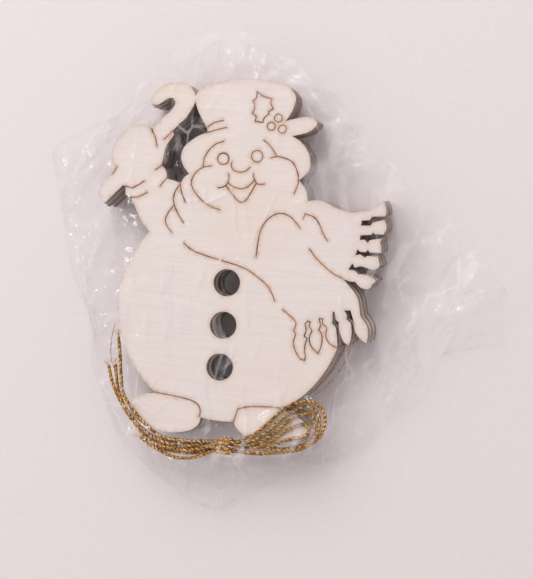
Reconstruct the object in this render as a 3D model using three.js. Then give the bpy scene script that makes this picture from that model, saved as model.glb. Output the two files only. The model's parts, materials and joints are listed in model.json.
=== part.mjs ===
// A retail pack of flat laser-cut plywood snowman ornaments: four identical snowmen lie in a stack, with a
// label card under them and a knotted bundle of four gold hanging cords across their feet, in a clear film
// bag. Millimetres, +Z up. The snowmen lie flat with their hats toward +Y and their arms along X. The
// origin is on the underside of the bag, below the centre of the snowmen's round bellies.
import * as THREE from 'three';
import { mergeVertices } from 'three/addons/utils/BufferGeometryUtils.js';

// ---- Driving dimensions -------------------------------------------------------------------------------
const GAP = 0.3; // clearance between pieces that touch
const FILM = 0.3; // thickness given to the clear film
const CARD = 0.3; // thickness of the label card
const PLY = 3; // thickness of the plywood
const BELLY_R = 32.65; // radius of the snowman's round belly
const BUTTON_R = 3.8; // radius of each cut-out button
const BUTTON_X = -1.4; // the row of buttons lies a little left of the belly's centre
const BUTTON_Y = [6.1, -5.8, -17.6];
const CORD_R = 0.5; // radius of a gold cord
const LONG_CHORD = 2.4; // facet length on the belly and other long sweeps
const SHORT_CHORD = 1.1; // facet length on the small features
const CHEEK = 16.6; // height of the front film's underside above the table, where it clears the knot

// How far each snowman lies out of line, from the lowest to the top: shift along X and Y, and turn.
const STACK = [
  { x: 0.3, y: 0.2, turn: 0.9 },
  { x: -0.2, y: 0.3, turn: 0.3 },
  { x: 0.3, y: -0.1, turn: 0.6 },
  { x: 0, y: 0, turn: 0 },
];
const CARD_Z = FILM + GAP;
const STACK_Z = CARD_Z + CARD + GAP; // underside of the lowest snowman
const PITCH = PLY + GAP; // from one snowman to the next

// ---- Materials ----------------------------------------------------------------------------------------
const plywood = new THREE.MeshStandardMaterial({ color: 0xe6dad1, roughness: 0.7, metalness: 0 });
const goldCord = new THREE.MeshStandardMaterial({ color: 0xc9962f, roughness: 0.35, metalness: 0.9 });
const clearFilm = new THREE.MeshStandardMaterial({
  color: 0xeef0f4, roughness: 0.15, metalness: 0, transparent: true, opacity: 0.25,
});
const printedCard = new THREE.MeshStandardMaterial({ color: 0x6f686c, roughness: 0.6, metalness: 0 });

const pack = new THREE.Group();

function add(name, geometry, material) {
  const mesh = new THREE.Mesh(geometry, material);
  mesh.name = name;
  pack.add(mesh);
  return mesh;
}

// ---- The snowman's outline ----------------------------------------------------------------------------
const vectors = (points) => points.map(([x, y]) => new THREE.Vector2(x, y));

// The corners of a smooth curve through a few points, without its last one.
function sweep(points, chord = SHORT_CHORD) {
  const curve = new THREE.SplineCurve(vectors(points));
  return curve.getSpacedPoints(Math.ceil(curve.getLength() / chord)).slice(0, -1);
}

// The corners of a clockwise stretch of an ellipse, with both ends; angles and tilt in degrees.
function arc(x, y, rx, ry, from, to, chord, tilt = 0) {
  const rad = THREE.MathUtils.degToRad;
  const curve = new THREE.EllipseCurve(x, y, rx, ry, rad(from), rad(to), true, rad(tilt));
  return curve.getSpacedPoints(Math.ceil(curve.getLength() / chord));
}

const hat = [
  ...sweep([[-14.9, 57.6], [-14, 59.3], [-12.2, 60.7], [-8.8, 62], [-3.3, 63.2], [3.2, 63.5], [9, 62.9],
    [11.9, 61.7], [13.5, 59.8]]),
  ...sweep([[13.5, 59.8], [13.8, 58], [12.9, 54.8], [11.4, 52.3]]),
];
const hollyLeaf = [
  ...sweep([[11.4, 52.3], [15.2, 53.5], [18.3, 53.8], [20.5, 52.5]]),
  ...sweep([[20.5, 52.5], [19.4, 50.6], [17.2, 49.3], [13.6, 48.3]]),
];
const brim = sweep([[13.6, 48.3], [16.3, 46.8], [18.6, 44], [19.4, 41.2], [19, 38.8], [16.7, 36.2]]);
const jaw = sweep([[16.7, 36.2], [18.5, 34], [19.3, 32], [19.5, 30.6]]);

// The scarf's upper end flies out to the right. Four slots part its fringe into five tassels, and each
// slot widens where the tassels beside it are tied.
const scarfTop = sweep([[19.5, 30.6], [22.5, 31], [25.4, 30.3], [28.9, 28.9], [32.7, 28.4], [35.6, 29.1],
  [36.9, 29.2], [38.7, 30.8], [40.6, 32.1]], 1.6);
const upperFringe = vectors([
  [40.6, 32.1], [41.3, 31], [41.8, 29.2], [41.3, 28],
  [37.9, 27.7], [37.3, 26.7], [35.1, 26.4], [35.1, 25], [37.6, 25.2], [38.2, 26.1], [41.3, 27.1],
  [42, 25.7], [42.1, 24.4], [41.4, 23],
  [39, 22.9], [38.6, 23.4], [38.2, 22.7], [35.1, 22.3], [35, 21], [36.3, 21.2], [37.3, 20.4],
  [37.8, 21.2], [41.1, 21.9],
  [40.7, 20.7], [41.1, 19.6], [41.3, 17.9],
  [38.1, 17.8], [37.5, 18.4], [36.9, 17.8], [35.4, 17.8], [34.6, 18.4], [34.1, 16.7], [35.4, 17.1],
  [36.9, 16.3], [37.5, 16.8], [40.3, 16.8],
  [40.7, 16], [41.2, 14.5], [40.7, 13.7], [39.5, 13.1],
  [36, 13.8], [34.3, 13.3], [33.5, 14.4], [32.5, 12.6], [34.3, 12.5], [35.5, 11.6], [37.1, 11.6],
  [40.1, 10.6],
  [40.4, 9.9], [39.5, 9.1], [39.2, 8.1], [38.2, 7.7], [36.5, 7.9], [35.5, 8.6], [34.7, 9.4], [33.4, 9.4],
]);

// The scarf's lower end hangs over the belly's edge; its two outer tassels stand free of it.
const scarfSide = sweep([[31.3, 9.9], [34, 7.3], [35.7, 5.2], [36.4, 2.9], [37, 0.1]], 1.6);
const lowerFringe = [
  ...sweep([[37, 0.1], [38.9, -2.3], [39.5, -4.2], [39.4, -7.3]]),
  ...sweep([[39.4, -7.3], [37.5, -6.2], [35.9, -4.3], [35.4, -2.1]]),
  ...vectors([[35.4, -2.1], [34.1, 1.4], [32.3, 1.3], [33.2, 0], [33.2, -1.1]]),
  ...sweep([[34.5, -2.2], [34.9, -4.2], [34.9, -6.2], [34.5, -8.2]]),
  ...sweep([[34.5, -8.2], [33, -7.5], [32, -5.8], [31.3, -3.6], [31.1, -2.1]]),
  ...vectors([[31.1, -2.1], [30.3, -1.6], [29.7, 0.6], [29.2, 0.6], [29.3, -2.6], [30.4, -3.7]]),
  ...vectors([[30.8, -5.4], [31.3, -8.4]]),
];

const belly = (from, to) => arc(0, 0, BELLY_R, BELLY_R, from, to, LONG_CHORD);
const rightFoot = arc(14.6, -32.6, 10.7, 5.1, 72, -175, 1.6, -4);
const leftFoot = arc(-16, -31.8, 10.4, 5.3, 6, -246, 1.6, -6);
const shoulder = sweep([[-32.6, 1], [-32.1, 4.5], [-29.7, 11], [-25, 18.7]], LONG_CHORD);
const sleeve = [
  ...sweep([[-25, 18.7], [-27.4, 21.3], [-29.1, 24.1], [-31.1, 27.8]], 1.6),
  ...vectors([[-31.1, 27.8], [-32.8, 28.4], [-33.1, 30.8]]),
];

// The raised arm holds a candy cane, whose hook rises beside the hat.
const caneFoot = [
  ...vectors([[-33.8, 31.1]]),
  ...sweep([[-38.9, 25.5], [-40.7, 28.2], [-40, 31.1], [-38.2, 33.1], [-36.5, 35.6]]),
];
const mitten = sweep([[-36.5, 35.6], [-37.8, 38], [-37.8, 41.1], [-36.8, 43.9], [-35.1, 46],
  [-33.1, 47.7], [-30.7, 48.5], [-28.3, 48.2], [-26.6, 47.4]]);
const caneHook = [
  ...sweep([[-26.6, 47.4], [-24.1, 50.6], [-21.9, 52.8], [-20.7, 54.8], [-20.9, 56.3], [-22, 56.7],
    [-23.4, 56], [-24.8, 54.9], [-26.6, 54]]),
  ...sweep([[-27.6, 54.5], [-27.6, 56.3], [-26.4, 58.4], [-24.9, 59.8], [-22.3, 60.9], [-19.3, 61.2],
    [-17.1, 60.6], [-15.6, 59.2], [-14.9, 57.6]]),
];

// The gap between the cane, the arm and the head, which a hanging cord is threaded through.
const hangingGap = [
  ...sweep([[-14.8, 56.1], [-15.5, 54.2], [-17.1, 51.4], [-18.9, 49.5], [-20.8, 47.3]]),
  ...sweep([[-20.8, 47.3], [-20.2, 46.3], [-21.9, 43.6], [-22.5, 41.3], [-23, 37.6]]),
  ...sweep([[-23, 37.6], [-21.6, 36], [-21.1, 34]]),
  ...vectors([[-21.1, 34]]),
  ...sweep([[-17.1, 32.9], [-16.2, 34.6], [-14.9, 35.7]]),
  ...sweep([[-14.9, 35.7], [-16.7, 37.8], [-17.6, 40.5], [-16.7, 43.5], [-13.6, 46.2], [-10.8, 47.6]]),
  ...sweep([[-10.8, 47.6], [-10.6, 48.3], [-12.2, 50.9], [-13.8, 53.5], [-14.8, 56.1]]),
];

function makeSnowmanShape() {
  const outline = [hat, hollyLeaf, brim, jaw, scarfTop, upperFringe, scarfSide, lowerFringe,
    belly(-16.5, -57), rightFoot, belly(-84.5, -99.5), leftFoot, belly(-126.5, -176), shoulder, sleeve,
    caneFoot, mitten, caneHook].flat();
  const shape = new THREE.Shape(outline);
  shape.holes.push(new THREE.Path(hangingGap));
  for (const y of BUTTON_Y) {
    shape.holes.push(new THREE.Path().absarc(BUTTON_X, y, BUTTON_R, 0, 2 * Math.PI));
  }
  return shape;
}

const plyCut = { depth: PLY, bevelEnabled: false, curveSegments: 12 };
const snowman = new THREE.ExtrudeGeometry(makeSnowmanShape(), plyCut);
STACK.forEach(({ x, y, turn }, level) => {
  const mesh = add(`snowman_${level + 1}`, snowman, plywood);
  mesh.position.set(x, y, STACK_Z + level * PITCH);
  mesh.rotation.z = THREE.MathUtils.degToRad(turn);
});

// ---- The label card under the stack -------------------------------------------------------------------
const label = add('label_card', new THREE.BoxGeometry(43.5, 27, CARD), printedCard);
label.position.set(-8.3, 37.6, CARD_Z + CARD / 2);
label.rotation.z = THREE.MathUtils.degToRad(-33.4);

// ---- The gold cords -----------------------------------------------------------------------------------
// Four cords are folded in half and tied together in one overhand knot. Each gives one loop on the right
// of the knot and two loose ends on the left. Every route is a list of points from the knot outward.
const KNOT = { x: 1.9, y: -39.5, z: 13.6, halfLength: 2.5, r: 2.6 };

function cordTube(name, route) {
  const curve = new THREE.CatmullRomCurve3(route.map((p) => new THREE.Vector3(...p)));
  const section = new THREE.Shape();
  section.absarc(0, 0, CORD_R, 0, 2 * Math.PI);
  const steps = Math.ceil(curve.getLength() / 2);
  const options = { steps, curveSegments: 4, extrudePath: curve, bevelEnabled: false };
  add(name, new THREE.ExtrudeGeometry(section, options), goldCord);
}

const LOOPS = [
  [[4.7, -38.1, 14.9], [8.2, -36.4, 15], [10.7, -34.8, 14.9], [13.9, -31.7, 14.9], [16.6, -28.6, 14.9],
    [18.7, -26.8, 14.9], [21, -25.5, 14.9], [23.6, -24.7, 14.9], [25.9, -24.7, 14.9], [27.8, -25.7, 14.9],
    [29.2, -27.4, 14.9], [29.8, -29.2, 14.9], [29.6, -31.2, 14.7], [28.8, -33.7, 13.9], [26.9, -36, 13.5],
    [24.1, -38, 13.3], [20.2, -39.3, 13.2], [16.2, -40.2, 13.1], [12.1, -40.7, 12.9], [8, -40.9, 12.6],
    [4.7, -40.7, 12.3]],
  [[4.7, -39.4, 14.9], [8.3, -37.7, 15], [11.4, -36.1, 14.9], [14.8, -33.1, 14.9], [17.8, -29.9, 14.9],
    [19.7, -28.3, 14.9], [21.7, -27, 14.9], [23.8, -26.2, 14.9], [25.4, -26.2, 14.9], [26.8, -27.1, 14.9],
    [27.9, -28.5, 14.9], [28.4, -30.2, 14.9], [28.2, -32.4, 14.9], [27, -34.9, 14.9], [24.3, -37.1, 14.8],
    [20.6, -38.4, 14.8], [16.6, -39.2, 14.8], [12.4, -40, 14.8], [8.4, -40.5, 14.8], [4.7, -40.7, 14.9]],
  [[4.7, -38.1, 13.6], [7.8, -38.2, 13.8], [10.2, -37.9, 14.4], [12.4, -37, 14.9], [15.7, -34.3, 14.9],
    [18.7, -31.3, 14.9], [20.6, -29.8, 14.9], [22.6, -28.6, 14.9], [24.3, -28, 14.9], [25.7, -28.2, 14.9],
    [26.7, -29.4, 14.9], [27, -31.2, 14.9], [26.9, -33.4, 14.4], [25.6, -35.7, 13], [22.6, -37.6, 12],
    [19, -38.7, 12], [15, -38.9, 11.8], [11, -38.7, 11.4], [7.8, -38.4, 11.5], [4.7, -38.1, 12.3]],
  [[4.7, -39.4, 13.6], [8, -39.4, 13.6], [10.9, -39, 14.1], [13.3, -38, 14.8], [15.9, -36, 14.9],
    [18.3, -33.9, 14.9], [20.5, -32.4, 14.9], [22.5, -31.4, 14.9], [24, -31.1, 14.9], [25.2, -31.6, 14.9],
    [25.6, -32.8, 14.9], [24.9, -34, 14.9], [22.6, -34.9, 14.9], [19.6, -35.9, 14.9], [17.1, -37.2, 14.9],
    [14.8, -38.4, 14.4], [12.2, -39, 12.9], [8.4, -39.5, 12.4], [4.7, -39.4, 12.3]],
];
const ENDS = [
  [[-0.9, -38.4, 14.9], [-4, -38.6, 14.8], [-8.1, -39, 14.5], [-12.2, -39, 14.4], [-15.9, -38.6, 14.7],
    [-19.4, -36.8, 14.9], [-22.7, -34.3, 14.9], [-25.9, -31, 14.9], [-28.4, -27.6, 14.7],
    [-29.7, -22.5, 14], [-30.8, -16.7, 13], [-31.9, -11.9, 12.2]],
  [[-0.9, -38.4, 13.6], [-4, -39.3, 13.6], [-8, -40.3, 14.2], [-12.2, -40.3, 14.3], [-16.2, -39.9, 14.6],
    [-20, -38.1, 14.9], [-23.6, -35.5, 14.9], [-26.9, -32, 14.9], [-29.6, -28, 14.3], [-31, -24, 13.4],
    [-32, -19.8, 12.4]],
  [[-0.9, -38.4, 12.3], [-4, -38.9, 12.2], [-8, -39.6, 12.9], [-12.2, -39.7, 12.9], [-16.4, -39.6, 12.9],
    [-20.7, -38.3, 12.9], [-24.3, -36.2, 12.9], [-27.2, -33.2, 12.8], [-29.9, -29.6, 12.5],
    [-32.5, -25.2, 12.1], [-34.2, -20.4, 11.7]],
  [[-0.9, -39.7, 14.9], [-4, -40.4, 15], [-8, -41.6, 14.5], [-12.2, -41.6, 14.3], [-16.4, -41.1, 14.4],
    [-20, -39.5, 14.5], [-23.1, -37.4, 14.4]],
  [[-0.9, -41, 14.9], [-4, -42.5, 14.7], [-7.8, -43.9, 14.2], [-11.6, -44.1, 13.9], [-14.9, -43.3, 14],
    [-18.1, -41.9, 14.1], [-21.2, -40.2, 14.2], [-22.4, -39.4, 14.2]],
  [[-0.9, -39.7, 13.6], [-4, -40.6, 13.5], [-8, -41.1, 13], [-12.2, -41.1, 12.9], [-16.4, -41, 12.9],
    [-19.5, -40, 13], [-21.2, -39.6, 12.9]],
  [[-0.9, -41, 13.6], [-4, -42, 13.2], [-8, -42.6, 12.8], [-12.2, -42.6, 12.7], [-16, -42.3, 12.7],
    [-18.9, -41.6, 12.7]],
  [[-0.9, -41, 12.3], [-4, -41.3, 11.9], [-8, -41.8, 11.6], [-12.2, -41.9, 11.5], [-15.5, -41.6, 11.5]],
];
LOOPS.forEach((route, i) => cordTube(`cord_loop_${i + 1}`, route));
ENDS.forEach((route, i) => cordTube(`cord_end_${i + 1}`, route));

// The knot is one solid of the tied cords' outer shape.
const knotProfile = [[0, -1], [0.7, -1], [0.93, -0.6], [1, 0], [0.93, 0.6], [0.7, 1], [0, 1]];
const knotGeometry = new THREE.LatheGeometry(
  knotProfile.map(([r, y]) => new THREE.Vector2(r * KNOT.r, y * KNOT.halfLength)), 16);
const knot = add('cord_knot', knotGeometry, goldCord);
knot.position.set(KNOT.x, KNOT.y, KNOT.z);
knot.rotation.z = Math.PI / 2;

// ---- The clear film bag -------------------------------------------------------------------------------
// The bag's rim, clockwise from the left end of its mouth. The mouth runs round the upper right, where
// the front film stands at its full height and each snowman can slide out. Everywhere else the front
// film comes down from a crease beside the contents to the rim, where it is welded to the back film.
const MOUTH = [
  { rim: [-30, 58.5], crease: [-27.5, 56.5] }, { rim: [-20.5, 68.5], crease: [-17, 62] },
  { rim: [-14, 75.2], crease: [-9, 66] }, { rim: [-4, 74.8], crease: [0, 66] },
  { rim: [10, 68.4], crease: [12, 60] }, { rim: [38, 44], crease: [34, 40] },
  { rim: [66.2, 19.4], crease: [60, 17] }, { rim: [75.3, 10.8], crease: [66, 11] },
];
const WELD = [
  { rim: [75.7, -4.3], crease: [63, 6.5] }, { rim: [59.5, -8.5], crease: [54.5, -0.6] },
  { rim: [50.5, -22], crease: [45, -12] }, { rim: [40, -33.5], crease: [35.5, -23.5] },
  { rim: [31, -41.5], crease: [31.5, -33] }, { rim: [22, -44.5], crease: [24.5, -39.6] },
  { rim: [12, -47], crease: [11, -42.6] }, { rim: [4, -55.4], crease: [4, -43.5] },
  { rim: [-1.8, -59.6], crease: [-1.5, -44.5] }, { rim: [-10.8, -57], crease: [-8, -45.8] },
  { rim: [-17, -53.2], crease: [-14, -45.3] }, { rim: [-23.3, -49.1], crease: [-22, -41.8] },
  { rim: [-33, -39.5], crease: [-28.5, -36] }, { rim: [-41, -21.5], crease: [-34.5, -24] },
  { rim: [-44.5, -7.2], crease: [-35.6, -9] }, { rim: [-51.2, 6.7], crease: [-36, 8] },
  { rim: [-55.1, 22], crease: [-42, 25] }, { rim: [-60.4, 40.8], crease: [-42, 39] },
  { rim: [-50.4, 47.2], crease: [-37.5, 47] }, { rim: [-38.9, 53], crease: [-31.5, 52.5] },
];
const RIM = [...MOUTH, ...WELD];

const backFilm = new THREE.Shape(vectors(RIM.map(({ rim }) => rim)));
add('bag_back_film', new THREE.ExtrudeGeometry(backFilm, { depth: FILM, bevelEnabled: false }), clearFilm);

// The front film is a closed shell: the same faces above and below, joined by a wall along the rim.
function makeFrontFilm() {
  const creases = vectors(RIM.map(({ crease }) => crease));
  const corners = [
    ...creases.map(({ x, y }) => [x, y, CHEEK]),
    ...RIM.map(({ rim: [x, y] }, i) => [x, y, i < MOUTH.length ? CHEEK : FILM + GAP]),
  ];
  const n = RIM.length;
  const faces = THREE.ShapeUtils.triangulateShape([...creases].reverse(), [])
    .map((face) => face.map((i) => n - 1 - i));
  for (let i = 0; i < n; i += 1) {
    const j = (i + 1) % n;
    faces.push([i, n + j, n + i], [i, j, n + j]);
  }
  const index = [];
  for (const [a, b, c] of faces) {
    index.push(a, b, c, a + 2 * n, c + 2 * n, b + 2 * n);
  }
  for (let i = n; i < 2 * n; i += 1) {
    const j = i + 1 < 2 * n ? i + 1 : n;
    index.push(i, j, j + 2 * n, i, j + 2 * n, i + 2 * n);
  }
  const above = corners.map(([x, y, z]) => [x, y, z + FILM]);
  const geometry = new THREE.BufferGeometry();
  geometry.setAttribute('position', new THREE.Float32BufferAttribute([...above, ...corners].flat(), 3));
  geometry.setIndex(index);
  return mergeVertices(geometry);
}
add('bag_front_film', makeFrontFilm(), clearFilm);

export default pack;
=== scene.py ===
"""A clear film bag of flat laser-cut plywood snowmen with their gold hanging cords.

Four identical snowmen lie in a stack with a printed card under them. Their cords are folded in half
and tied together in one knot, which lies at the snowmen's feet. Lengths in this script are in
millimetres until a mesh is made, and the frame is the part's own: +Z up out of the engraved faces, +Y
from the feet to the hats.
"""

from __future__ import annotations

import json
import logging
import math
from dataclasses import dataclass, field
from enum import Enum

import bmesh
import bpy
import numpy as np
from mathutils import Matrix, Vector, geometry, noise
from mathutils.bvhtree import BVHTree

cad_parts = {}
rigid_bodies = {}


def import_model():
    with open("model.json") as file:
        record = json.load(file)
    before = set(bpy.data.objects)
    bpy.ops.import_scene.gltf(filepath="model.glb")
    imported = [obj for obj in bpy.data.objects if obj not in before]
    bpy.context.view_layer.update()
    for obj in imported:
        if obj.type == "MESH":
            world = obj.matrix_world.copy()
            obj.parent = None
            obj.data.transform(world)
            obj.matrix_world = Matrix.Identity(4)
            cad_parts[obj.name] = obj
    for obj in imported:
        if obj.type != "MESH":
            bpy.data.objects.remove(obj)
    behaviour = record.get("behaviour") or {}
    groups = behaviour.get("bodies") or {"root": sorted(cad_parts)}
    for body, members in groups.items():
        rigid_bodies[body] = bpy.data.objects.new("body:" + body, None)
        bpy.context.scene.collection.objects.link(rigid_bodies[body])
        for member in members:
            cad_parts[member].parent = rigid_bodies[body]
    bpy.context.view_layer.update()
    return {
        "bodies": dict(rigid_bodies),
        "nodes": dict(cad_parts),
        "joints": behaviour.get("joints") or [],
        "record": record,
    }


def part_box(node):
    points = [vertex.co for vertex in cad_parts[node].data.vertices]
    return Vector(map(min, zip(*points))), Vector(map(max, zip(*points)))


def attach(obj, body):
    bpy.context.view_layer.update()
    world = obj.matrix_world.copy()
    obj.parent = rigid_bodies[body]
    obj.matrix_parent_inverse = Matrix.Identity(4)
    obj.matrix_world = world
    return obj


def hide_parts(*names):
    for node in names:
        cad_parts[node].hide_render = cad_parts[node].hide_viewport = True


log = logging.getLogger("snowman_pack")

MM = 0.001
Point = tuple[float, ...]
Path = list[Point]

PLY = 3.0
BAG = "bag"
FACE, EDGE, ENGRAVED = 0, 1, 2  # a snowman's material slots


# ---- Camera -----------------------------------------------------------------------------------------


@dataclass
class ViewCamera:
    """The camera that looks down on the pack, from a little to its right.

    Attributes:
        place: Where the camera stands.
        aim: The point that it looks at.
        lens: Focal length in millimetres on a 36 mm sensor.
        roll: How far the camera leans anticlockwise, in degrees.
    """

    place: Point = (110.0, 10.0, 514.0)
    aim: Point = (10.05, 5.18, 14.1)
    lens: float = 123.6
    roll: float = 4.957

    def build(self) -> bpy.types.Object:
        """Adds the camera and makes it the scene's own.

        Returns:
            The camera object.
        """
        data = bpy.data.cameras.new("view_camera")
        data.lens = self.lens
        data.sensor_width = 36.0
        data.sensor_fit = "HORIZONTAL"
        data.clip_start = 0.01
        camera = bpy.data.objects.new("view_camera", data)
        bpy.context.scene.collection.objects.link(camera)
        back = (Vector(self.place) - Vector(self.aim)).normalized()
        lean = math.radians(self.roll)
        right = Vector((-math.sin(lean), math.cos(lean), 0.0)).cross(back).normalized()
        turn = Matrix((right, back.cross(right), back)).transposed().to_4x4()
        camera.matrix_world = Matrix.Translation(Vector(self.place) * MM) @ turn
        bpy.context.scene.camera = camera
        return camera


# ---- Small tools that every class uses --------------------------------------------------------------


def to_linear(colour: str) -> tuple[float, float, float, float]:
    """Turns an sRGB hex colour into Blender's linear one.

    Args:
        colour: Six hex digits.

    Returns:
        Red, green, blue and an alpha of one.
    """
    parts = [int(colour[i : i + 2], 16) / 255 for i in (0, 2, 4)]
    linear = [c / 12.92 if c <= 0.04045 else ((c + 0.055) / 1.055) ** 2.4 for c in parts]
    return (*linear, 1.0)


def add_node(tree: bpy.types.NodeTree, kind: str, inputs: dict | None = None, **settings) -> bpy.types.Node:
    """Adds a node, with its settings, its input values and its incoming links.

    Args:
        tree: The shader or geometry tree.
        kind: The node's type name.
        inputs: For each input's name or number, a value or the socket that feeds it.
        settings: The node's own properties.

    Returns:
        The new node.
    """
    node = tree.nodes.new(kind)
    for name, value in settings.items():
        setattr(node, name, value)
    for key, value in (inputs or {}).items():
        socket = node.inputs[key]
        if isinstance(value, bpy.types.NodeSocket):
            tree.links.new(value, socket)
        else:
            socket.default_value = value
    return node


def add_ramp(
    tree: bpy.types.NodeTree, factor: bpy.types.NodeSocket, stops: list[tuple[float, str]]
) -> bpy.types.NodeSocket:
    """Adds a colour ramp.

    Args:
        tree: The shader tree.
        factor: What the ramp reads.
        stops: Each stop's place and sRGB hex colour, in rising order.

    Returns:
        The ramp's colour output.
    """
    node = add_node(tree, "ShaderNodeValToRGB", {"Fac": factor})
    ramp = node.color_ramp
    while len(ramp.elements) < len(stops):
        ramp.elements.new(0.5)
    for element, (place, colour) in zip(ramp.elements, stops):
        element.position = place
        element.color = to_linear(colour)
    return node.outputs["Color"]


def smooth_path(points: Path, step: float, closed: bool = False) -> np.ndarray:
    """Follows a centripetal curve through points, at even steps.

    Args:
        points: The points that the curve passes through, in two or three dimensions.
        step: About how far apart the new points are.
        closed: Whether the curve returns to its first point.

    Returns:
        The new points, one row each. A closed path doesn't repeat its first point.
    """
    p = np.array(points, float)
    if closed:
        ring = np.vstack([p[-1], p, p[0], p[1]])
    else:
        ring = np.vstack([2 * p[0] - p[1], p, 2 * p[-1] - p[-2]])
    dense = []
    for a, b, c, d in zip(ring, ring[1:], ring[2:], ring[3:]):
        t0 = 0.0
        t1 = t0 + max(np.linalg.norm(b - a), 1e-6) ** 0.5
        t2 = t1 + max(np.linalg.norm(c - b), 1e-6) ** 0.5
        t3 = t2 + max(np.linalg.norm(d - c), 1e-6) ** 0.5
        t = np.linspace(t1, t2, 16, endpoint=False)[:, None]
        ab = ((t1 - t) * a + (t - t0) * b) / (t1 - t0)
        bc = ((t2 - t) * b + (t - t1) * c) / (t2 - t1)
        cd = ((t3 - t) * c + (t - t2) * d) / (t3 - t2)
        abc = ((t2 - t) * ab + (t - t0) * bc) / (t2 - t0)
        bcd = ((t3 - t) * bc + (t - t1) * cd) / (t3 - t1)
        dense.append(((t2 - t) * abc + (t - t1) * bcd) / (t2 - t1))
    line = np.vstack([*dense, p[0] if closed else p[-1]])
    along = np.concatenate([[0.0], np.cumsum(np.linalg.norm(np.diff(line, axis=0), axis=1))])
    count = max(2, math.ceil(along[-1] / step))
    even = np.linspace(0.0, along[-1], count + 1)
    result = np.stack([np.interp(even, along, line[:, k]) for k in range(line.shape[1])], axis=1)
    return result[:-1] if closed else result


def path_length(line: np.ndarray) -> float:
    """Measures a path.

    Args:
        line: The path's points, one row each.

    Returns:
        Its length, in its own unit.
    """
    return float(np.linalg.norm(np.diff(line, axis=0), axis=1).sum())


def new_mesh(
    name: str, vertices: np.ndarray, faces: list, materials: list[bpy.types.Material]
) -> bpy.types.Object:
    """Makes a mesh object from places in millimetres, at the origin.

    Args:
        name: The object's name.
        vertices: One row of three numbers for each vertex.
        faces: Each face's vertex numbers.
        materials: The mesh's material slots.

    Returns:
        The object, linked to the scene.
    """
    mesh = bpy.data.meshes.new(name)
    mesh.from_pydata((np.asarray(vertices, float) * MM).tolist(), [], faces)
    for material in materials:
        mesh.materials.append(material)
    obj = bpy.data.objects.new(name, mesh)
    bpy.context.scene.collection.objects.link(obj)
    return obj


def flatten_modifiers(obj: bpy.types.Object) -> None:
    """Turns an object's evaluated modifiers into its plain mesh.

    Args:
        obj: The object, whose old mesh is removed.
    """
    graph = bpy.context.evaluated_depsgraph_get()
    result = bpy.data.meshes.new_from_object(obj.evaluated_get(graph))
    obj.modifiers.clear()
    old, obj.data = obj.data, result
    result.name = obj.name
    bpy.data.meshes.remove(old)


def store(mesh: bpy.types.Mesh, name: str, values: np.ndarray) -> None:
    """Keeps one number for each vertex under an attribute's name.

    Args:
        mesh: The mesh.
        name: The attribute's name.
        values: The numbers, in the vertices' order.
    """
    attribute = mesh.attributes.new(name, "FLOAT", "POINT")
    attribute.data.foreach_set("value", np.asarray(values, np.float32))


def from_segments(points: np.ndarray, starts: np.ndarray, ends: np.ndarray) -> np.ndarray:
    """Measures how far each point in the plane is from the nearest of some line segments.

    Args:
        points: The points, one row each.
        starts: The segments' first ends.
        ends: Their other ends.

    Returns:
        One distance for each point.
    """
    best = np.full(len(points), 1e9)
    run = ends - starts
    size = np.maximum((run**2).sum(1), 1e-12)
    for low in range(0, len(points), 2000):
        part = points[low : low + 2000]
        t = np.clip(((part[:, None] - starts[None]) * run[None]).sum(2) / size, 0.0, 1.0)
        away = part[:, None] - (starts[None] + t[..., None] * run[None])
        best[low : low + 2000] = np.sqrt((away**2).sum(2).min(1))
    return best


def is_inside(points: np.ndarray, loop: np.ndarray) -> np.ndarray:
    """Says of each point in the plane whether it is inside a closed loop.

    Args:
        points: The points, one row each.
        loop: The loop's points. The last one joins the first.

    Returns:
        True or false for each point.
    """
    x, y = points[:, :1], points[:, 1:2]
    ax, ay = loop[:, 0], loop[:, 1]
    bx, by = np.roll(ax, -1), np.roll(ay, -1)
    rise = np.where(by == ay, 1e-12, by - ay)
    crosses = ((ay > y) != (by > y)) & (x < (bx - ax) * (y - ay) / rise + ax)
    return crosses.sum(1) % 2 == 1


def ring_edges(rings: list[np.ndarray]) -> tuple[np.ndarray, np.ndarray]:
    """Lists the edges of closed outlines.

    Args:
        rings: The outlines.

    Returns:
        The edges' first ends and their other ends.
    """
    return np.vstack(rings), np.vstack([np.roll(ring, -1, axis=0) for ring in rings])


def staggered_grid(ring: np.ndarray, cell: float, jitter: float, seed: int) -> np.ndarray:
    """Spreads points over the inside of an outline, in rows that are shifted in turn by half a cell.

    Args:
        ring: The outline.
        cell: The spacing.
        jitter: How far a point may stray each way.
        seed: The random seed.

    Returns:
        The points, one row each.
    """
    low, high = ring.min(0), ring.max(0)
    grid = np.stack(np.meshgrid(np.arange(low[0], high[0], cell), np.arange(low[1], high[1], cell)), -1)
    grid[1::2, :, 0] += cell / 2
    grid = grid.reshape(-1, 2)
    grid += np.random.default_rng(seed).uniform(-jitter, jitter, grid.shape)
    return grid[is_inside(grid, ring)]


def turned_up(flat: np.ndarray, triangle: list[int]) -> tuple[int, ...]:
    """Orders a triangle's corners so that it faces up.

    Args:
        flat: The places of all vertices in the plane.
        triangle: The numbers of its three corners.

    Returns:
        The same numbers, anticlockwise.
    """
    a, b, c = (flat[i] for i in triangle)
    left = (b[0] - a[0]) * (c[1] - a[1]) - (b[1] - a[1]) * (c[0] - a[0]) > 0
    return tuple(triangle) if left else tuple(reversed(triangle))


# ---- The tree that spins a cord along a line --------------------------------------------------------


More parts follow.
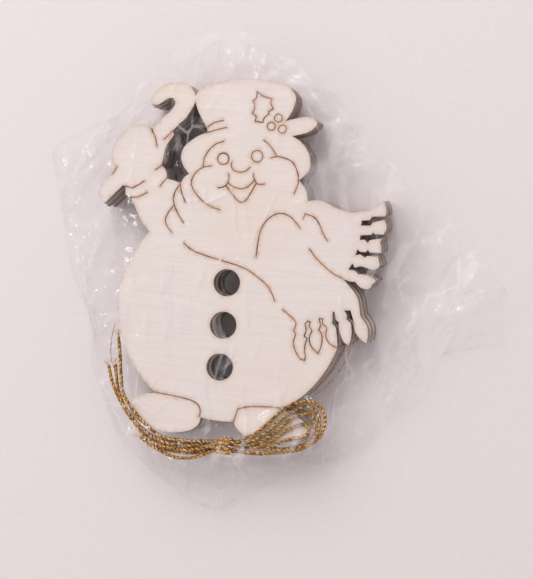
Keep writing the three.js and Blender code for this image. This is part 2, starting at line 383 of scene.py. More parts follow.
def group_inputs(tree: bpy.types.NodeTree, sizes: dict[str, float]) -> None:
    """Declares a geometry tree's inputs and output.

    Args:
        tree: The empty tree.
        sizes: The name and first value of each number that it takes.
    """
    tree.interface.new_socket("Geometry", in_out="INPUT", socket_type="NodeSocketGeometry")
    for name, value in sizes.items():
        whole = isinstance(value, int)
        kind = "NodeSocketInt" if whole else "NodeSocketFloat"
        tree.interface.new_socket(name, in_out="INPUT", socket_type=kind).default_value = value
    tree.interface.new_socket("Material", in_out="INPUT", socket_type="NodeSocketMaterial")
    tree.interface.new_socket("Geometry", in_out="OUTPUT", socket_type="NodeSocketGeometry")


def grow(
    name: str, tree: bpy.types.NodeTree, line: np.ndarray, material: bpy.types.Material, **sizes: float
) -> bpy.types.Object:
    """Runs a geometry tree on a line and keeps the result as a plain mesh.

    Args:
        name: The new object's name.
        tree: The tree.
        line: The line's points, in millimetres.
        material: What the tree's Material input gets.
        sizes: The tree's other inputs, with spaces in their names written as underscores.

    Returns:
        The new object.
    """
    mesh = bpy.data.meshes.new(name)
    mesh.from_pydata((line * MM).tolist(), [(i, i + 1) for i in range(len(line) - 1)], [])
    obj = bpy.data.objects.new(name, mesh)
    bpy.context.scene.collection.objects.link(obj)
    modifier = obj.modifiers.new(tree.name, "NODES")
    modifier.node_group = tree
    known = {item.name: item.identifier for item in tree.interface.items_tree if item.in_out == "INPUT"}
    for key, value in {**sizes, "Material": material}.items():
        modifier[known[key.replace("_", " ")]] = value
    flatten_modifiers(obj)
    return obj


def finish_tree(
    tree: bpy.types.NodeTree, made: bpy.types.NodeSocket, material: bpy.types.NodeSocket
) -> None:
    """Ends a geometry tree: its instances are made real and get their material.

    Args:
        tree: The geometry tree.
        made: What it has made.
        material: The tree's Material input.
    """
    real = add_node(tree, "GeometryNodeRealizeInstances", {0: made})
    dressed = add_node(tree, "GeometryNodeSetMaterial", {"Geometry": real.outputs[0], "Material": material})
    add_node(tree, "NodeGroupOutput", {0: dressed.outputs[0]})


def lobed_section(tree: bpy.types.NodeTree, give: bpy.types.bpy_prop_collection) -> bpy.types.NodeSocket:
    """Adds the nodes that draw a twisted cord's section, with one lobe for each strand.

    Args:
        tree: The geometry tree.
        give: The outputs of its group input node.

    Returns:
        The closed section, whose points know how near the top of a lobe they are.
    """
    sides = 16
    ring = add_node(
        tree,
        "GeometryNodeCurvePrimitiveCircle",
        {"Resolution": sides, "Radius": give["Radius"]},
        mode="RADIUS",
    )
    number = add_node(tree, "GeometryNodeInputIndex")
    share = add_node(tree, "ShaderNodeMath", {0: number.outputs[0], 1: float(sides)}, operation="DIVIDE")
    strands = add_node(
        tree, "ShaderNodeMath", {0: share.outputs[0], 1: give["Strands"]}, operation="MULTIPLY"
    )
    lobe = add_node(tree, "ShaderNodeMath", {0: strands.outputs[0], 1: math.pi}, operation="MULTIPLY")
    wave = add_node(tree, "ShaderNodeMath", {0: lobe.outputs[0]}, operation="SINE")
    swell = add_node(tree, "ShaderNodeMath", {0: wave.outputs[0]}, operation="ABSOLUTE")
    dip = add_node(tree, "ShaderNodeMath", {0: 1.0, 1: swell.outputs[0]}, operation="SUBTRACT")
    loss = add_node(tree, "ShaderNodeMath", {0: dip.outputs[0], 1: give["Groove"]}, operation="MULTIPLY")
    keep = add_node(tree, "ShaderNodeMath", {0: 1.0, 1: loss.outputs[0]}, operation="SUBTRACT")
    place = add_node(tree, "GeometryNodeInputPosition")
    pulled = add_node(
        tree, "ShaderNodeVectorMath", {0: place.outputs[0], "Scale": keep.outputs[0]}, operation="SCALE"
    )
    lobed = add_node(
        tree, "GeometryNodeSetPosition", {"Geometry": ring.outputs[0], "Position": pulled.outputs[0]}
    )
    around = add_node(
        tree,
        "GeometryNodeStoreNamedAttribute",
        {"Geometry": lobed.outputs[0], "Name": "around", "Value": swell.outputs[0]},
        data_type="FLOAT",
        domain="POINT",
    )
    return around.outputs[0]


def twisted_cord_tree() -> bpy.types.NodeTree:
    """Builds the tree that twists strands of thread along a line.

    The cord's section has one lobe for each strand, and turns once in every lay length. The tree also
    writes how far along and how far round each vertex is, for the thread's pattern.

    Returns:
        The geometry node tree.
    """
    tree = bpy.data.node_groups.new("twisted_cord", "GeometryNodeTree")
    group_inputs(tree, {"Radius": 0.0005, "Step": 0.0003, "Lay": 0.0036, "Strands": 2.0, "Groove": 0.3})
    give = add_node(tree, "NodeGroupInput").outputs
    line = add_node(tree, "GeometryNodeMeshToCurve", {"Mesh": give["Geometry"]})
    even = add_node(
        tree, "GeometryNodeResampleCurve", {"Curve": line.outputs[0], "Length": give["Step"]}, mode="LENGTH"
    )
    where = add_node(tree, "GeometryNodeSplineParameter")
    turns = add_node(
        tree, "ShaderNodeMath", {0: where.outputs["Length"], 1: give["Lay"]}, operation="DIVIDE"
    )
    angle = add_node(tree, "ShaderNodeMath", {0: turns.outputs[0], 1: math.tau}, operation="MULTIPLY")
    tilted = add_node(
        tree, "GeometryNodeSetCurveTilt", {"Curve": even.outputs[0], "Tilt": angle.outputs[0]}
    )
    along = add_node(
        tree,
        "GeometryNodeStoreNamedAttribute",
        {"Geometry": tilted.outputs[0], "Name": "along", "Value": where.outputs["Length"]},
        data_type="FLOAT",
        domain="POINT",
    )
    section = lobed_section(tree, give)
    tube = add_node(
        tree,
        "GeometryNodeCurveToMesh",
        {"Curve": along.outputs[0], "Profile Curve": section, "Fill Caps": True},
    )
    finish_tree(tree, tube.outputs[0], give["Material"])
    return tree


def thread_leans(
    tree: bpy.types.NodeTree, give: bpy.types.bpy_prop_collection, heading: bpy.types.NodeSocket
) -> tuple[bpy.types.NodeSocket, bpy.types.NodeSocket]:
    """Adds the nodes that lean each frayed thread its own way.

    Args:
        tree: The geometry tree.
        give: The outputs of its group input node.
        heading: The way that the cord points at its end.

    Returns:
        Each thread's rotation and its scale.
    """
    least = add_node(tree, "ShaderNodeMath", {0: give["Spread"], 1: -1.0}, operation="MULTIPLY")
    low = add_node(
        tree, "ShaderNodeCombineXYZ", {"X": least.outputs[0], "Y": least.outputs[0], "Z": -math.pi}
    )
    high = add_node(tree, "ShaderNodeCombineXYZ", {"X": give["Spread"], "Y": give["Spread"], "Z": math.pi})
    lean = add_node(
        tree,
        "FunctionNodeRandomValue",
        {0: low.outputs[0], 1: high.outputs[0], "Seed": give["Seed"]},
        data_type="FLOAT_VECTOR",
    )
    size = add_node(
        tree, "FunctionNodeRandomValue", {2: 0.45, 3: 1.0, "Seed": give["Seed"]}, data_type="FLOAT"
    )
    fan = add_node(
        tree,
        "FunctionNodeRotateRotation",
        {"Rotation": heading, "Rotate By": lean.outputs[0]},
        rotation_space="LOCAL",
    )
    return fan.outputs[0], size.outputs[1]


def frayed_end_tree() -> bpy.types.NodeTree:
    """Builds the tree that fans fine threads out of a cord's cut end.

    The line that it is given is the cord's last stretch, from the end backward by one thread's length.

    Returns:
        The geometry node tree.
    """
    tree = bpy.data.node_groups.new("frayed_end", "GeometryNodeTree")
    group_inputs(
        tree, {"Threads": 12, "Thread Radius": 0.00005, "Length": 0.0025, "Spread": 0.6, "Seed": 1}
    )
    give = add_node(tree, "NodeGroupInput").outputs
    line = add_node(tree, "GeometryNodeMeshToCurve", {"Mesh": give["Geometry"]})
    tip = add_node(
        tree, "GeometryNodeSampleCurve", {"Curves": line.outputs[0], "Factor": 0.0}, mode="FACTOR"
    )
    out = add_node(
        tree, "ShaderNodeVectorMath", {0: tip.outputs["Tangent"], "Scale": -1.0}, operation="SCALE"
    )
    heading = add_node(tree, "FunctionNodeAlignRotationToVector", {"Vector": out.outputs[0]}, axis="Z")
    points = add_node(
        tree, "GeometryNodePoints", {"Count": give["Threads"], "Position": tip.outputs["Position"]}
    )
    up = add_node(tree, "ShaderNodeCombineXYZ", {"Z": give["Length"]})
    root, bow, rise = -0.3 * MM, 0.4 * MM, 1.2 * MM  # where a thread starts in the cord, and where it bows
    bent = add_node(tree, "ShaderNodeCombineXYZ", {"X": bow, "Z": rise})
    thread = add_node(
        tree,
        "GeometryNodeCurveQuadraticBezier",
        {"Resolution": 5, "Start": (0, 0, root), "Middle": bent.outputs[0], "End": up.outputs[0]},
    )
    turn, size = thread_leans(tree, give, heading.outputs[0])
    copies = add_node(
        tree,
        "GeometryNodeInstanceOnPoints",
        {"Points": points.outputs[0], "Instance": thread.outputs[0], "Rotation": turn, "Scale": size},
    )
    section = add_node(
        tree,
        "GeometryNodeCurvePrimitiveCircle",
        {"Resolution": 4, "Radius": give["Thread Radius"]},
        mode="RADIUS",
    )
    tube = add_node(
        tree,
        "GeometryNodeCurveToMesh",
        {"Curve": copies.outputs[0], "Profile Curve": section.outputs[0], "Fill Caps": True},
    )
    bare = add_node(
        tree,
        "GeometryNodeStoreNamedAttribute",
        {"Geometry": tube.outputs[0], "Name": "around", "Value": 1.0},
        data_type="FLOAT",
        domain="POINT",
    )
    finish_tree(tree, bare.outputs[0], give["Material"])
    return tree


# ---- Finishes ---------------------------------------------------------------------------------------


@dataclass(frozen=True)
class GoldThread:
    """Metallised polyester thread round a yarn core, twisted into a cord.

    Its colour paints the light that the foil would catch: mirror-bright glints and lit facets between
    shaded dark ones, and brown painted shade in the twist's grooves.
    """

    # Apart from mid, these colours are painted light: the two brightest are painted glints and highlights,
    # and the two darkest are painted shade.
    lit_gold: str = "FFCF62"
    mid: str = "F2A535"
    shaded_gold: str = "9C5C10"
    groove_shade: str = "5A3208"
    glint_gold: str = "FFEBAE"
    metallic: float = 0.8  # under one, for the yarn that shows between the foil
    roughness: float = 0.27
    facet: float = 0.5  # one facet of foil, along the cord, in millimetres
    foil_pitch: float = 0.26  # between the turns of the foil strip round its core

    def build(self) -> bpy.types.Material:
        """Returns the material."""
        material, tree, shader = new_material("metallised_gold_thread")
        along = add_node(tree, "ShaderNodeAttribute", attribute_name="along").outputs["Fac"]
        around = add_node(tree, "ShaderNodeAttribute", attribute_name="around").outputs["Fac"]
        place = add_node(tree, "ShaderNodeTexCoord").outputs["Object"]
        cells = add_node(tree, "ShaderNodeTexVoronoi", {"Vector": place, "Scale": 1 / (self.facet * MM)})
        facet = add_node(tree, "ShaderNodeSeparateColor", {0: cells.outputs["Color"]}).outputs[0]
        # Painted light: this ramp paints glinting and lit facets and shaded dark facets into the base
        # colour, around the gold's own mid tone.
        lit_and_shaded_foil = add_ramp(
            tree,
            facet,
            [
                (0.0, self.groove_shade),
                (0.16, self.shaded_gold),
                (0.4, self.mid),
                (0.7, self.lit_gold),
                (0.92, self.glint_gold),
            ],
        )
        # Painted shade: the low sides of each lobe, in the twist's grooves, are darkened toward the painted
        # groove shade.
        groove_shade_mix = add_node(
            tree,
            "ShaderNodeMapRange",
            {"Value": around, "From Min": 0.12, "From Max": 0.8},
            interpolation_type="SMOOTHSTEP",
        )
        colour = add_node(
            tree,
            "ShaderNodeMix",
            {0: groove_shade_mix.outputs[0], 6: to_linear(self.groove_shade), 7: lit_and_shaded_foil},
            data_type="RGBA",
        )
        turns = add_node(
            tree, "ShaderNodeMath", {0: along, 1: math.tau / (self.foil_pitch * MM)}, operation="MULTIPLY"
        )
        slant = add_node(
            tree, "ShaderNodeMath", {0: around, 1: 3.0, 2: turns.outputs[0]}, operation="MULTIPLY_ADD"
        )
        rib = add_node(tree, "ShaderNodeMath", {0: slant.outputs[0]}, operation="SINE")
        both = add_node(
            tree, "ShaderNodeMath", {0: facet, 1: 1.6, 2: rib.outputs[0]}, operation="MULTIPLY_ADD"
        )
        bump = add_node(
            tree, "ShaderNodeBump", {"Strength": 0.55, "Distance": 0.12 * MM, "Height": both.outputs[0]}
        )
        dress(shader, colour.outputs[2], bump, self.roughness)
        shader.inputs["Metallic"].default_value = self.metallic
        return material


def new_material(name: str) -> tuple[bpy.types.Material, bpy.types.NodeTree, bpy.types.Node]:
    """Makes an empty material with a Principled shader.

    Args:
        name: What the real material is.

    Returns:
        The material, its tree and the shader node.
    """
    material = bpy.data.materials.new(name)
    material.use_nodes = True
    tree = material.node_tree
    tree.nodes.clear()
    shader = add_node(tree, "ShaderNodeBsdfPrincipled")
    add_node(tree, "ShaderNodeOutputMaterial", {"Surface": shader.outputs[0]})
    return material, tree, shader


def dress(
    shader: bpy.types.Node, colour: bpy.types.NodeSocket, bump: bpy.types.Node, roughness: float
) -> None:
    """Gives a shader its colour, its bump and its roughness.

    Args:
        shader: The Principled shader.
        colour: The socket that gives its base colour.
        bump: The bump node.
        roughness: One number for the whole surface.
    """
    links = shader.id_data.links
    links.new(colour, shader.inputs["Base Color"])
    links.new(bump.outputs[0], shader.inputs["Normal"])
    shader.inputs["Roughness"].default_value = roughness


@dataclass(frozen=True)
class RawPlywood:
    """Basswood plywood with a sanded, unpainted face, cut and engraved by laser.

    The face is a pale cream with faint grain and warm blotches, and the beam has left a light scorch
    beside each cut and line.
    """

    pale: str = "E5DBD7"
    cream: str = "E2D6D1"
    blotch: str = "E3D4C6"
    vein: str = "DFD4CD"
    scorch: str = "B5875A"
    roughness: float = 0.72
    grain_width: float = 0.7  # across the grain, in millimetres
    grain_length: float = 16.0

    def build(self) -> bpy.types.Material:
        """Returns the material."""
        material, tree, shader = new_material("sanded_basswood_plywood")
        place = add_node(tree, "ShaderNodeTexCoord").outputs["Object"]
        width, length = 1 / (self.grain_width * MM), 1 / (self.grain_length * MM)
        stretched = add_node(
            tree,
            "ShaderNodeMapping",
            {"Vector": place, "Scale": (length, width, width), "Rotation": (0.0, 0.0, 0.5)},
        )
        grain = add_node(
            tree,
            "ShaderNodeTexNoise",
            {"Vector": stretched.outputs[0], "Scale": 1.0, "Detail": 4.0, "Roughness": 0.6},
        )
        body = add_ramp(
            tree,
            grain.outputs[0],
            [(0.28, self.vein), (0.42, self.cream), (0.6, self.pale), (0.8, self.cream)],
        )
        cloud = add_node(
            tree, "ShaderNodeTexNoise", {"Vector": place, "Scale": 1 / (24 * MM), "Detail": 3.0}
        )
        patch = add_node(
            tree,
            "ShaderNodeMapRange",
            {"Value": cloud.outputs[0], "From Min": 0.48, "From Max": 0.72, "To Max": 0.55},
        )
        warm = add_node(
            tree,
            "ShaderNodeMix",
            {0: patch.outputs[0], 6: body, 7: to_linear(self.blotch)},
            data_type="RGBA",
        )
        burn = add_node(tree, "ShaderNodeAttribute", attribute_name="scorch").outputs["Fac"]
        speck = add_node(
            tree, "ShaderNodeTexNoise", {"Vector": place, "Scale": 1 / (1.3 * MM), "Detail": 3.0}
        )
        uneven = add_node(
            tree,
            "ShaderNodeMapRange",
            {"Value": speck.outputs[0], "From Min": 0.3, "From Max": 0.7, "To Min": 0.35, "To Max": 1.1},
        )
        amount = add_node(
            tree, "ShaderNodeMath", {0: burn, 1: uneven.outputs[0]}, operation="MULTIPLY", use_clamp=True
        )
        face = add_node(
            tree,
            "ShaderNodeMix",
            {0: amount.outputs[0], 6: warm.outputs[2], 7: to_linear(self.scorch)},
            data_type="RGBA",
        )
        bump = add_node(
            tree, "ShaderNodeBump", {"Strength": 0.22, "Distance": 0.05 * MM, "Height": grain.outputs[0]}
        )
        dress(shader, face.outputs[2], bump, self.roughness)
        return material


@dataclass(frozen=True)
class CharredCut:
    """The wall of a laser cut through three-ply wood.

    The beam chars the upper and lower plies dark brown and leaves a tan core, with fine marks down the
    wall where it pulsed.
    """

    char: str = "5B4B4D"
    brown: str = "98817A"
    core: str = "C9B3A2"
    roughness: float = 0.8
    pulse: float = 0.45  # between the beam's marks, in millimetres

    def build(self) -> bpy.types.Material:
        """Returns the material."""
        material, tree, shader = new_material("laser_charred_ply_edge")
        height = add_node(tree, "ShaderNodeAttribute", attribute_name="ply").outputs["Fac"]
        place = add_node(tree, "ShaderNodeTexCoord").outputs["Object"]
        across = 1 / (self.pulse * MM)
        stretched = add_node(
            tree, "ShaderNodeMapping", {"Vector": place, "Scale": (across, across, across * 0.09)}
        )
        marks = add_node(
            tree, "ShaderNodeTexNoise", {"Vector": stretched.outputs[0], "Scale": 1.0, "Detail": 3.0}
        )
        ragged = add_node(
            tree, "ShaderNodeMath", {0: marks.outputs[0], 1: 0.22, 2: height}, operation="MULTIPLY_ADD"
        )
        level = add_node(tree, "ShaderNodeMath", {0: ragged.outputs[0], 1: 0.11}, operation="SUBTRACT")
        bands = add_ramp(
            tree,
            level.outputs[0],
            [
                (0.04, self.char),
                (0.3, self.brown),
                (0.42, self.core),
                (0.6, self.core),
                (0.72, self.brown),
                (0.96, self.char),
            ],
        )
        soot = add_node(
            tree,
            "ShaderNodeMapRange",
            {"Value": marks.outputs[0], "From Min": 0.35, "From Max": 0.65, "To Max": 0.55},
        )
        wall = add_node(
            tree, "ShaderNodeMix", {0: soot.outputs[0], 6: bands, 7: to_linear(self.char)}, data_type="RGBA"
        )
        bump = add_node(
            tree, "ShaderNodeBump", {"Strength": 0.6, "Distance": 0.1 * MM, "Height": marks.outputs[0]}
        )
        dress(shader, wall.outputs[2], bump, self.roughness)
        return material


@dataclass(frozen=True)
class BurntLine:
    """The floor and sides of a shallow laser engraving in basswood, burnt to an uneven red-brown."""

    light: str = "BC8D68"
    deep: str = "553629"
    roughness: float = 0.85

    def build(self) -> bpy.types.Material:
        """Returns the material."""
        material, tree, shader = new_material("laser_engraved_line")
        place = add_node(tree, "ShaderNodeTexCoord").outputs["Object"]
        patch = add_node(
            tree,
            "ShaderNodeTexNoise",
            {"Vector": place, "Scale": 1 / (5 * MM), "Detail": 5.0, "Roughness": 0.7},
        )
        colour = add_ramp(
            tree, patch.outputs[0], [(0.36, self.deep), (0.52, self.light), (0.8, self.light)]
        )
        grit = add_node(
            tree, "ShaderNodeTexNoise", {"Vector": place, "Scale": 1 / (0.25 * MM), "Detail": 2.0}
        )
        bump = add_node(
            tree, "ShaderNodeBump", {"Strength": 0.5, "Distance": 0.05 * MM, "Height": grit.outputs[0]}
        )
        dress(shader, colour, bump, self.roughness)
        return material


@dataclass(frozen=True)
class ClearFilm:
    """Thin clear polypropylene film, crumpled in the hand.

    Nearly all light goes straight through. The eye sees it by its glossy glints, and by milky lines
    where it has been sharply creased.
    """

    roughness: float = 0.09
    gloss: float = 0.2
    mirror: float = 0.04  # the share of light that each face sends back when seen square on
    haze: float = 0.004  # the share of light that the flat film scatters
    edge_mirror: float = 1.5  # how much more it sends back when seen along the film
    edge_sharpness: float = 9.0  # how quickly that fades as the film turns to the eye
    milk: str = "F4F1F4"
    crease_haze: float = 0.14
    crease_width: float = 0.034  # as a share of a facet
    wrinkle_haze: float = 0.11
    facet: float = 13.0  # between creases, in millimetres

    def build(self) -> bpy.types.Material:
        """Returns the material."""
        material = bpy.data.materials.new("clear_polypropylene_film")
        material.use_nodes = True
        tree = material.node_tree
        tree.nodes.clear()
        place = add_node(tree, "ShaderNodeTexCoord").outputs["Object"]
        drift = add_node(
            tree, "ShaderNodeTexNoise", {"Vector": place, "Scale": 1 / (14 * MM), "Detail": 2.0}
        )
        push = add_node(
            tree, "ShaderNodeVectorMath", {0: drift.outputs["Color"], "Scale": 6 * MM}, operation="SCALE"
        )
        bent = add_node(tree, "ShaderNodeVectorMath", {0: place, 1: push.outputs[0]}, operation="ADD")
        creased, bump = self.creases(tree, place, bent.outputs[0])
        # The same on both faces. A Fresnel node would treat the inner ones as the inside of a thick block.
        slope = add_node(tree, "ShaderNodeLayerWeight", {"Blend": 0.5, "Normal": bump.outputs[0]})
        steep = add_node(
            tree, "ShaderNodeMath", {0: slope.outputs["Facing"], 1: self.edge_sharpness}, operation="POWER"
        )
        mirror = add_node(
            tree,
            "ShaderNodeMath",
            {0: steep.outputs[0], 1: self.edge_mirror, 2: self.mirror},
            operation="MULTIPLY_ADD",
        )
        haze = add_node(tree, "ShaderNodeMath", {0: creased, 1: self.haze}, operation="ADD")
        clear = add_node(tree, "ShaderNodeBsdfTransparent", {"Color": (1.0, 1.0, 1.0, 1.0)})
        milk = add_node(
            tree,
            "ShaderNodeBsdfPrincipled",
            {"Base Color": to_linear(self.milk), "Roughness": 0.35, "Normal": bump.outputs[0]},
        )
        shine = add_node(
            tree,
            "ShaderNodeBsdfGlossy",
            {"Color": (1.0, 1.0, 1.0, 1.0), "Roughness": self.roughness, "Normal": bump.outputs[0]},
        )
        body = add_node(
            tree, "ShaderNodeMixShader", {0: haze.outputs[0], 1: clear.outputs[0], 2: milk.outputs[0]}
        )
        amount = add_node(
            tree,
            "ShaderNodeMath",
            {0: mirror.outputs[0], 1: self.gloss},
            operation="MULTIPLY",
            use_clamp=True,
        )
        whole = add_node(
            tree, "ShaderNodeMixShader", {0: amount.outputs[0], 1: body.outputs[0], 2: shine.outputs[0]}
        )
        add_node(tree, "ShaderNodeOutputMaterial", {"Surface": whole.outputs[0]})
        return material

    def creases(
        self, tree: bpy.types.NodeTree, place: bpy.types.NodeSocket, bent: bpy.types.NodeSocket
    ) -> tuple[bpy.types.NodeSocket, bpy.types.Node]:
        """Breaks the film into facets with sharp milky creases between them.

        Args:
            tree: The material's node tree.
            place: Where a point of the film is.
            bent: The same, pushed about a little so that no crease is straight.

        Returns:
            The share of light that creases and wrinkles scatter, and the bump node.
        """
        flat = add_node(
            tree, "ShaderNodeMapping", {"Vector": bent, "Rotation": (0, 0, 0.6), "Scale": (1.0, 0.55, 0.4)}
        )
        cells = add_node(
            tree, "ShaderNodeTexVoronoi", {"Vector": flat.outputs[0], "Scale": 1 / (self.facet * MM)}
        )
        edges = add_node(
            tree,
            "ShaderNodeTexVoronoi",
            {"Vector": flat.outputs[0], "Scale": 1 / (self.facet * MM)},
            feature="DISTANCE_TO_EDGE",
        )
        crease = add_node(
            tree,
            "ShaderNodeMapRange",
            {
                "Value": edges.outputs[0],
                "From Min": 0.0,
                "From Max": self.crease_width,
                "To Min": 1.0,
                "To Max": 0.0,
            },
            interpolation_type="SMOOTHSTEP",
        )
        fade = add_node(
            tree, "ShaderNodeTexNoise", {"Vector": place, "Scale": 1 / (18 * MM), "Detail": 2.0}
        )
        seen = add_node(
            tree, "ShaderNodeMapRange", {"Value": fade.outputs[0], "From Min": 0.5, "From Max": 0.68}
        )
        line = add_node(
            tree, "ShaderNodeMath", {0: crease.outputs[0], 1: seen.outputs[0]}, operation="MULTIPLY"
        )
        small = add_node(tree, "ShaderNodeTexNoise", {"Vector": bent, "Scale": 1 / (4 * MM), "Detail": 3.0})
        height = add_node(
            tree,
            "ShaderNodeMath",
            {0: cells.outputs[0], 1: 2.2, 2: small.outputs[0]},
            operation="MULTIPLY_ADD",
        )
        bump = add_node(
            tree, "ShaderNodeBump", {"Strength": 0.5, "Distance": 0.7 * MM, "Height": height.outputs[0]}
        )
        creased = add_node(
            tree,
            "ShaderNodeMath",
            {0: line.outputs[0], 1: self.crease_haze, 2: self.wrinkles(tree, place)},
            operation="MULTIPLY_ADD",
        )
        return creased.outputs[0], bump

    def wrinkles(self, tree: bpy.types.NodeTree, place: bpy.types.NodeSocket) -> bpy.types.NodeSocket:
        """Draws the soft milky streaks of film that has been squeezed into long wrinkles.

        Args:
            tree: The material's node tree.
            place: Where a point of the film is.

        Returns:
            The share of light that the wrinkles scatter.
        """
        swirl = add_node(
            tree, "ShaderNodeTexNoise", {"Vector": place, "Scale": 1 / (38 * MM), "Detail": 1.0}
        )
        push = add_node(
            tree, "ShaderNodeVectorMath", {0: swirl.outputs["Color"], "Scale": 34 * MM}, operation="SCALE"
        )
        turned = add_node(tree, "ShaderNodeVectorMath", {0: place, 1: push.outputs[0]}, operation="ADD")
        drawn = add_node(
            tree,
            "ShaderNodeMapping",
            {"Vector": turned.outputs[0], "Rotation": (0, 0, 0.9), "Scale": (1.0, 0.2, 1.0)},
        )
        folds = add_node(
            tree, "ShaderNodeTexNoise", {"Vector": drawn.outputs[0], "Scale": 1 / (4.5 * MM), "Detail": 2.0}
        )
        streak = add_node(
            tree,
            "ShaderNodeMapRange",
            {
                "Value": folds.outputs[0],
                "From Min": 0.54,
                "From Max": 0.7,
                "To Min": 0.0,
                "To Max": self.wrinkle_haze,
            },
            interpolation_type="SMOOTHSTEP",
        )
        return streak.outputs[0]


@dataclass(frozen=True)
class CoatedCard:
    """Coated card printed with a dark band over a plain grey ground, with a pale rule between them."""

    band: str = "75676A"
    rule: str = "E4DDDF"
    ground: str = "9E9094"
    worn: str = "A89CA0"
    roughness: float = 0.42

    def build(self) -> bpy.types.Material:
        """Returns the material."""
        material, tree, shader = new_material("printed_coated_card")
        down = add_node(tree, "ShaderNodeAttribute", attribute_name="down").outputs["Fac"]
        step = add_node(tree, "ShaderNodeMapRange", {"Value": down, "From Min": -10.0, "From Max": 10.0})
        print_ = add_ramp(
            tree, step.outputs[0], [
                (0.0, self.band),
                (0.478, self.band),
                (0.482, self.rule),
                (0.518, self.rule),
                (0.522, self.ground),
            ]
        )
        place = add_node(tree, "ShaderNodeTexCoord").outputs["Object"]
        ink = add_node(
            tree,
            "ShaderNodeTexNoise",
            {"Vector": place, "Scale": 1 / (3 * MM), "Detail": 6.0, "Roughness": 0.7},
        )
        wear = add_node(
            tree,
            "ShaderNodeMapRange",
            {"Value": ink.outputs[0], "From Min": 0.35, "From Max": 0.7, "To Max": 0.25},
        )
        face = add_node(
            tree,
            "ShaderNodeMix",
            {0: wear.outputs[0], 6: print_, 7: to_linear(self.worn)},
            data_type="RGBA",
        )
        bump = add_node(
            tree, "ShaderNodeBump", {"Strength": 0.15, "Distance": 0.05 * MM, "Height": ink.outputs[0]}
        )
        dress(shader, face.outputs[2], bump, self.roughness)
        return material


@dataclass(frozen=True)
class PaperGround:
    """Matt white background paper, with a faint warm tint."""

    colour: str = "E8E0E1"
    shade: str = "E5DDDE"

    def build(self) -> bpy.types.Material:
        """Returns the material."""
        material, tree, shader = new_material("matt_background_paper")
        place = add_node(tree, "ShaderNodeTexCoord").outputs["Object"]
        fibre = add_node(
            tree, "ShaderNodeTexNoise", {"Vector": place, "Scale": 1 / (1.5 * MM), "Detail": 4.0}
        )
        tone = add_ramp(tree, fibre.outputs[0], [(0.3, self.shade), (0.7, self.colour)])
        tree.links.new(tone, shader.inputs["Base Color"])
        shader.inputs["Roughness"].default_value = 0.9
        shader.inputs["Specular IOR Level"].default_value = 0.2
        return material


# ---- The cords --------------------------------------------------------------------------------------


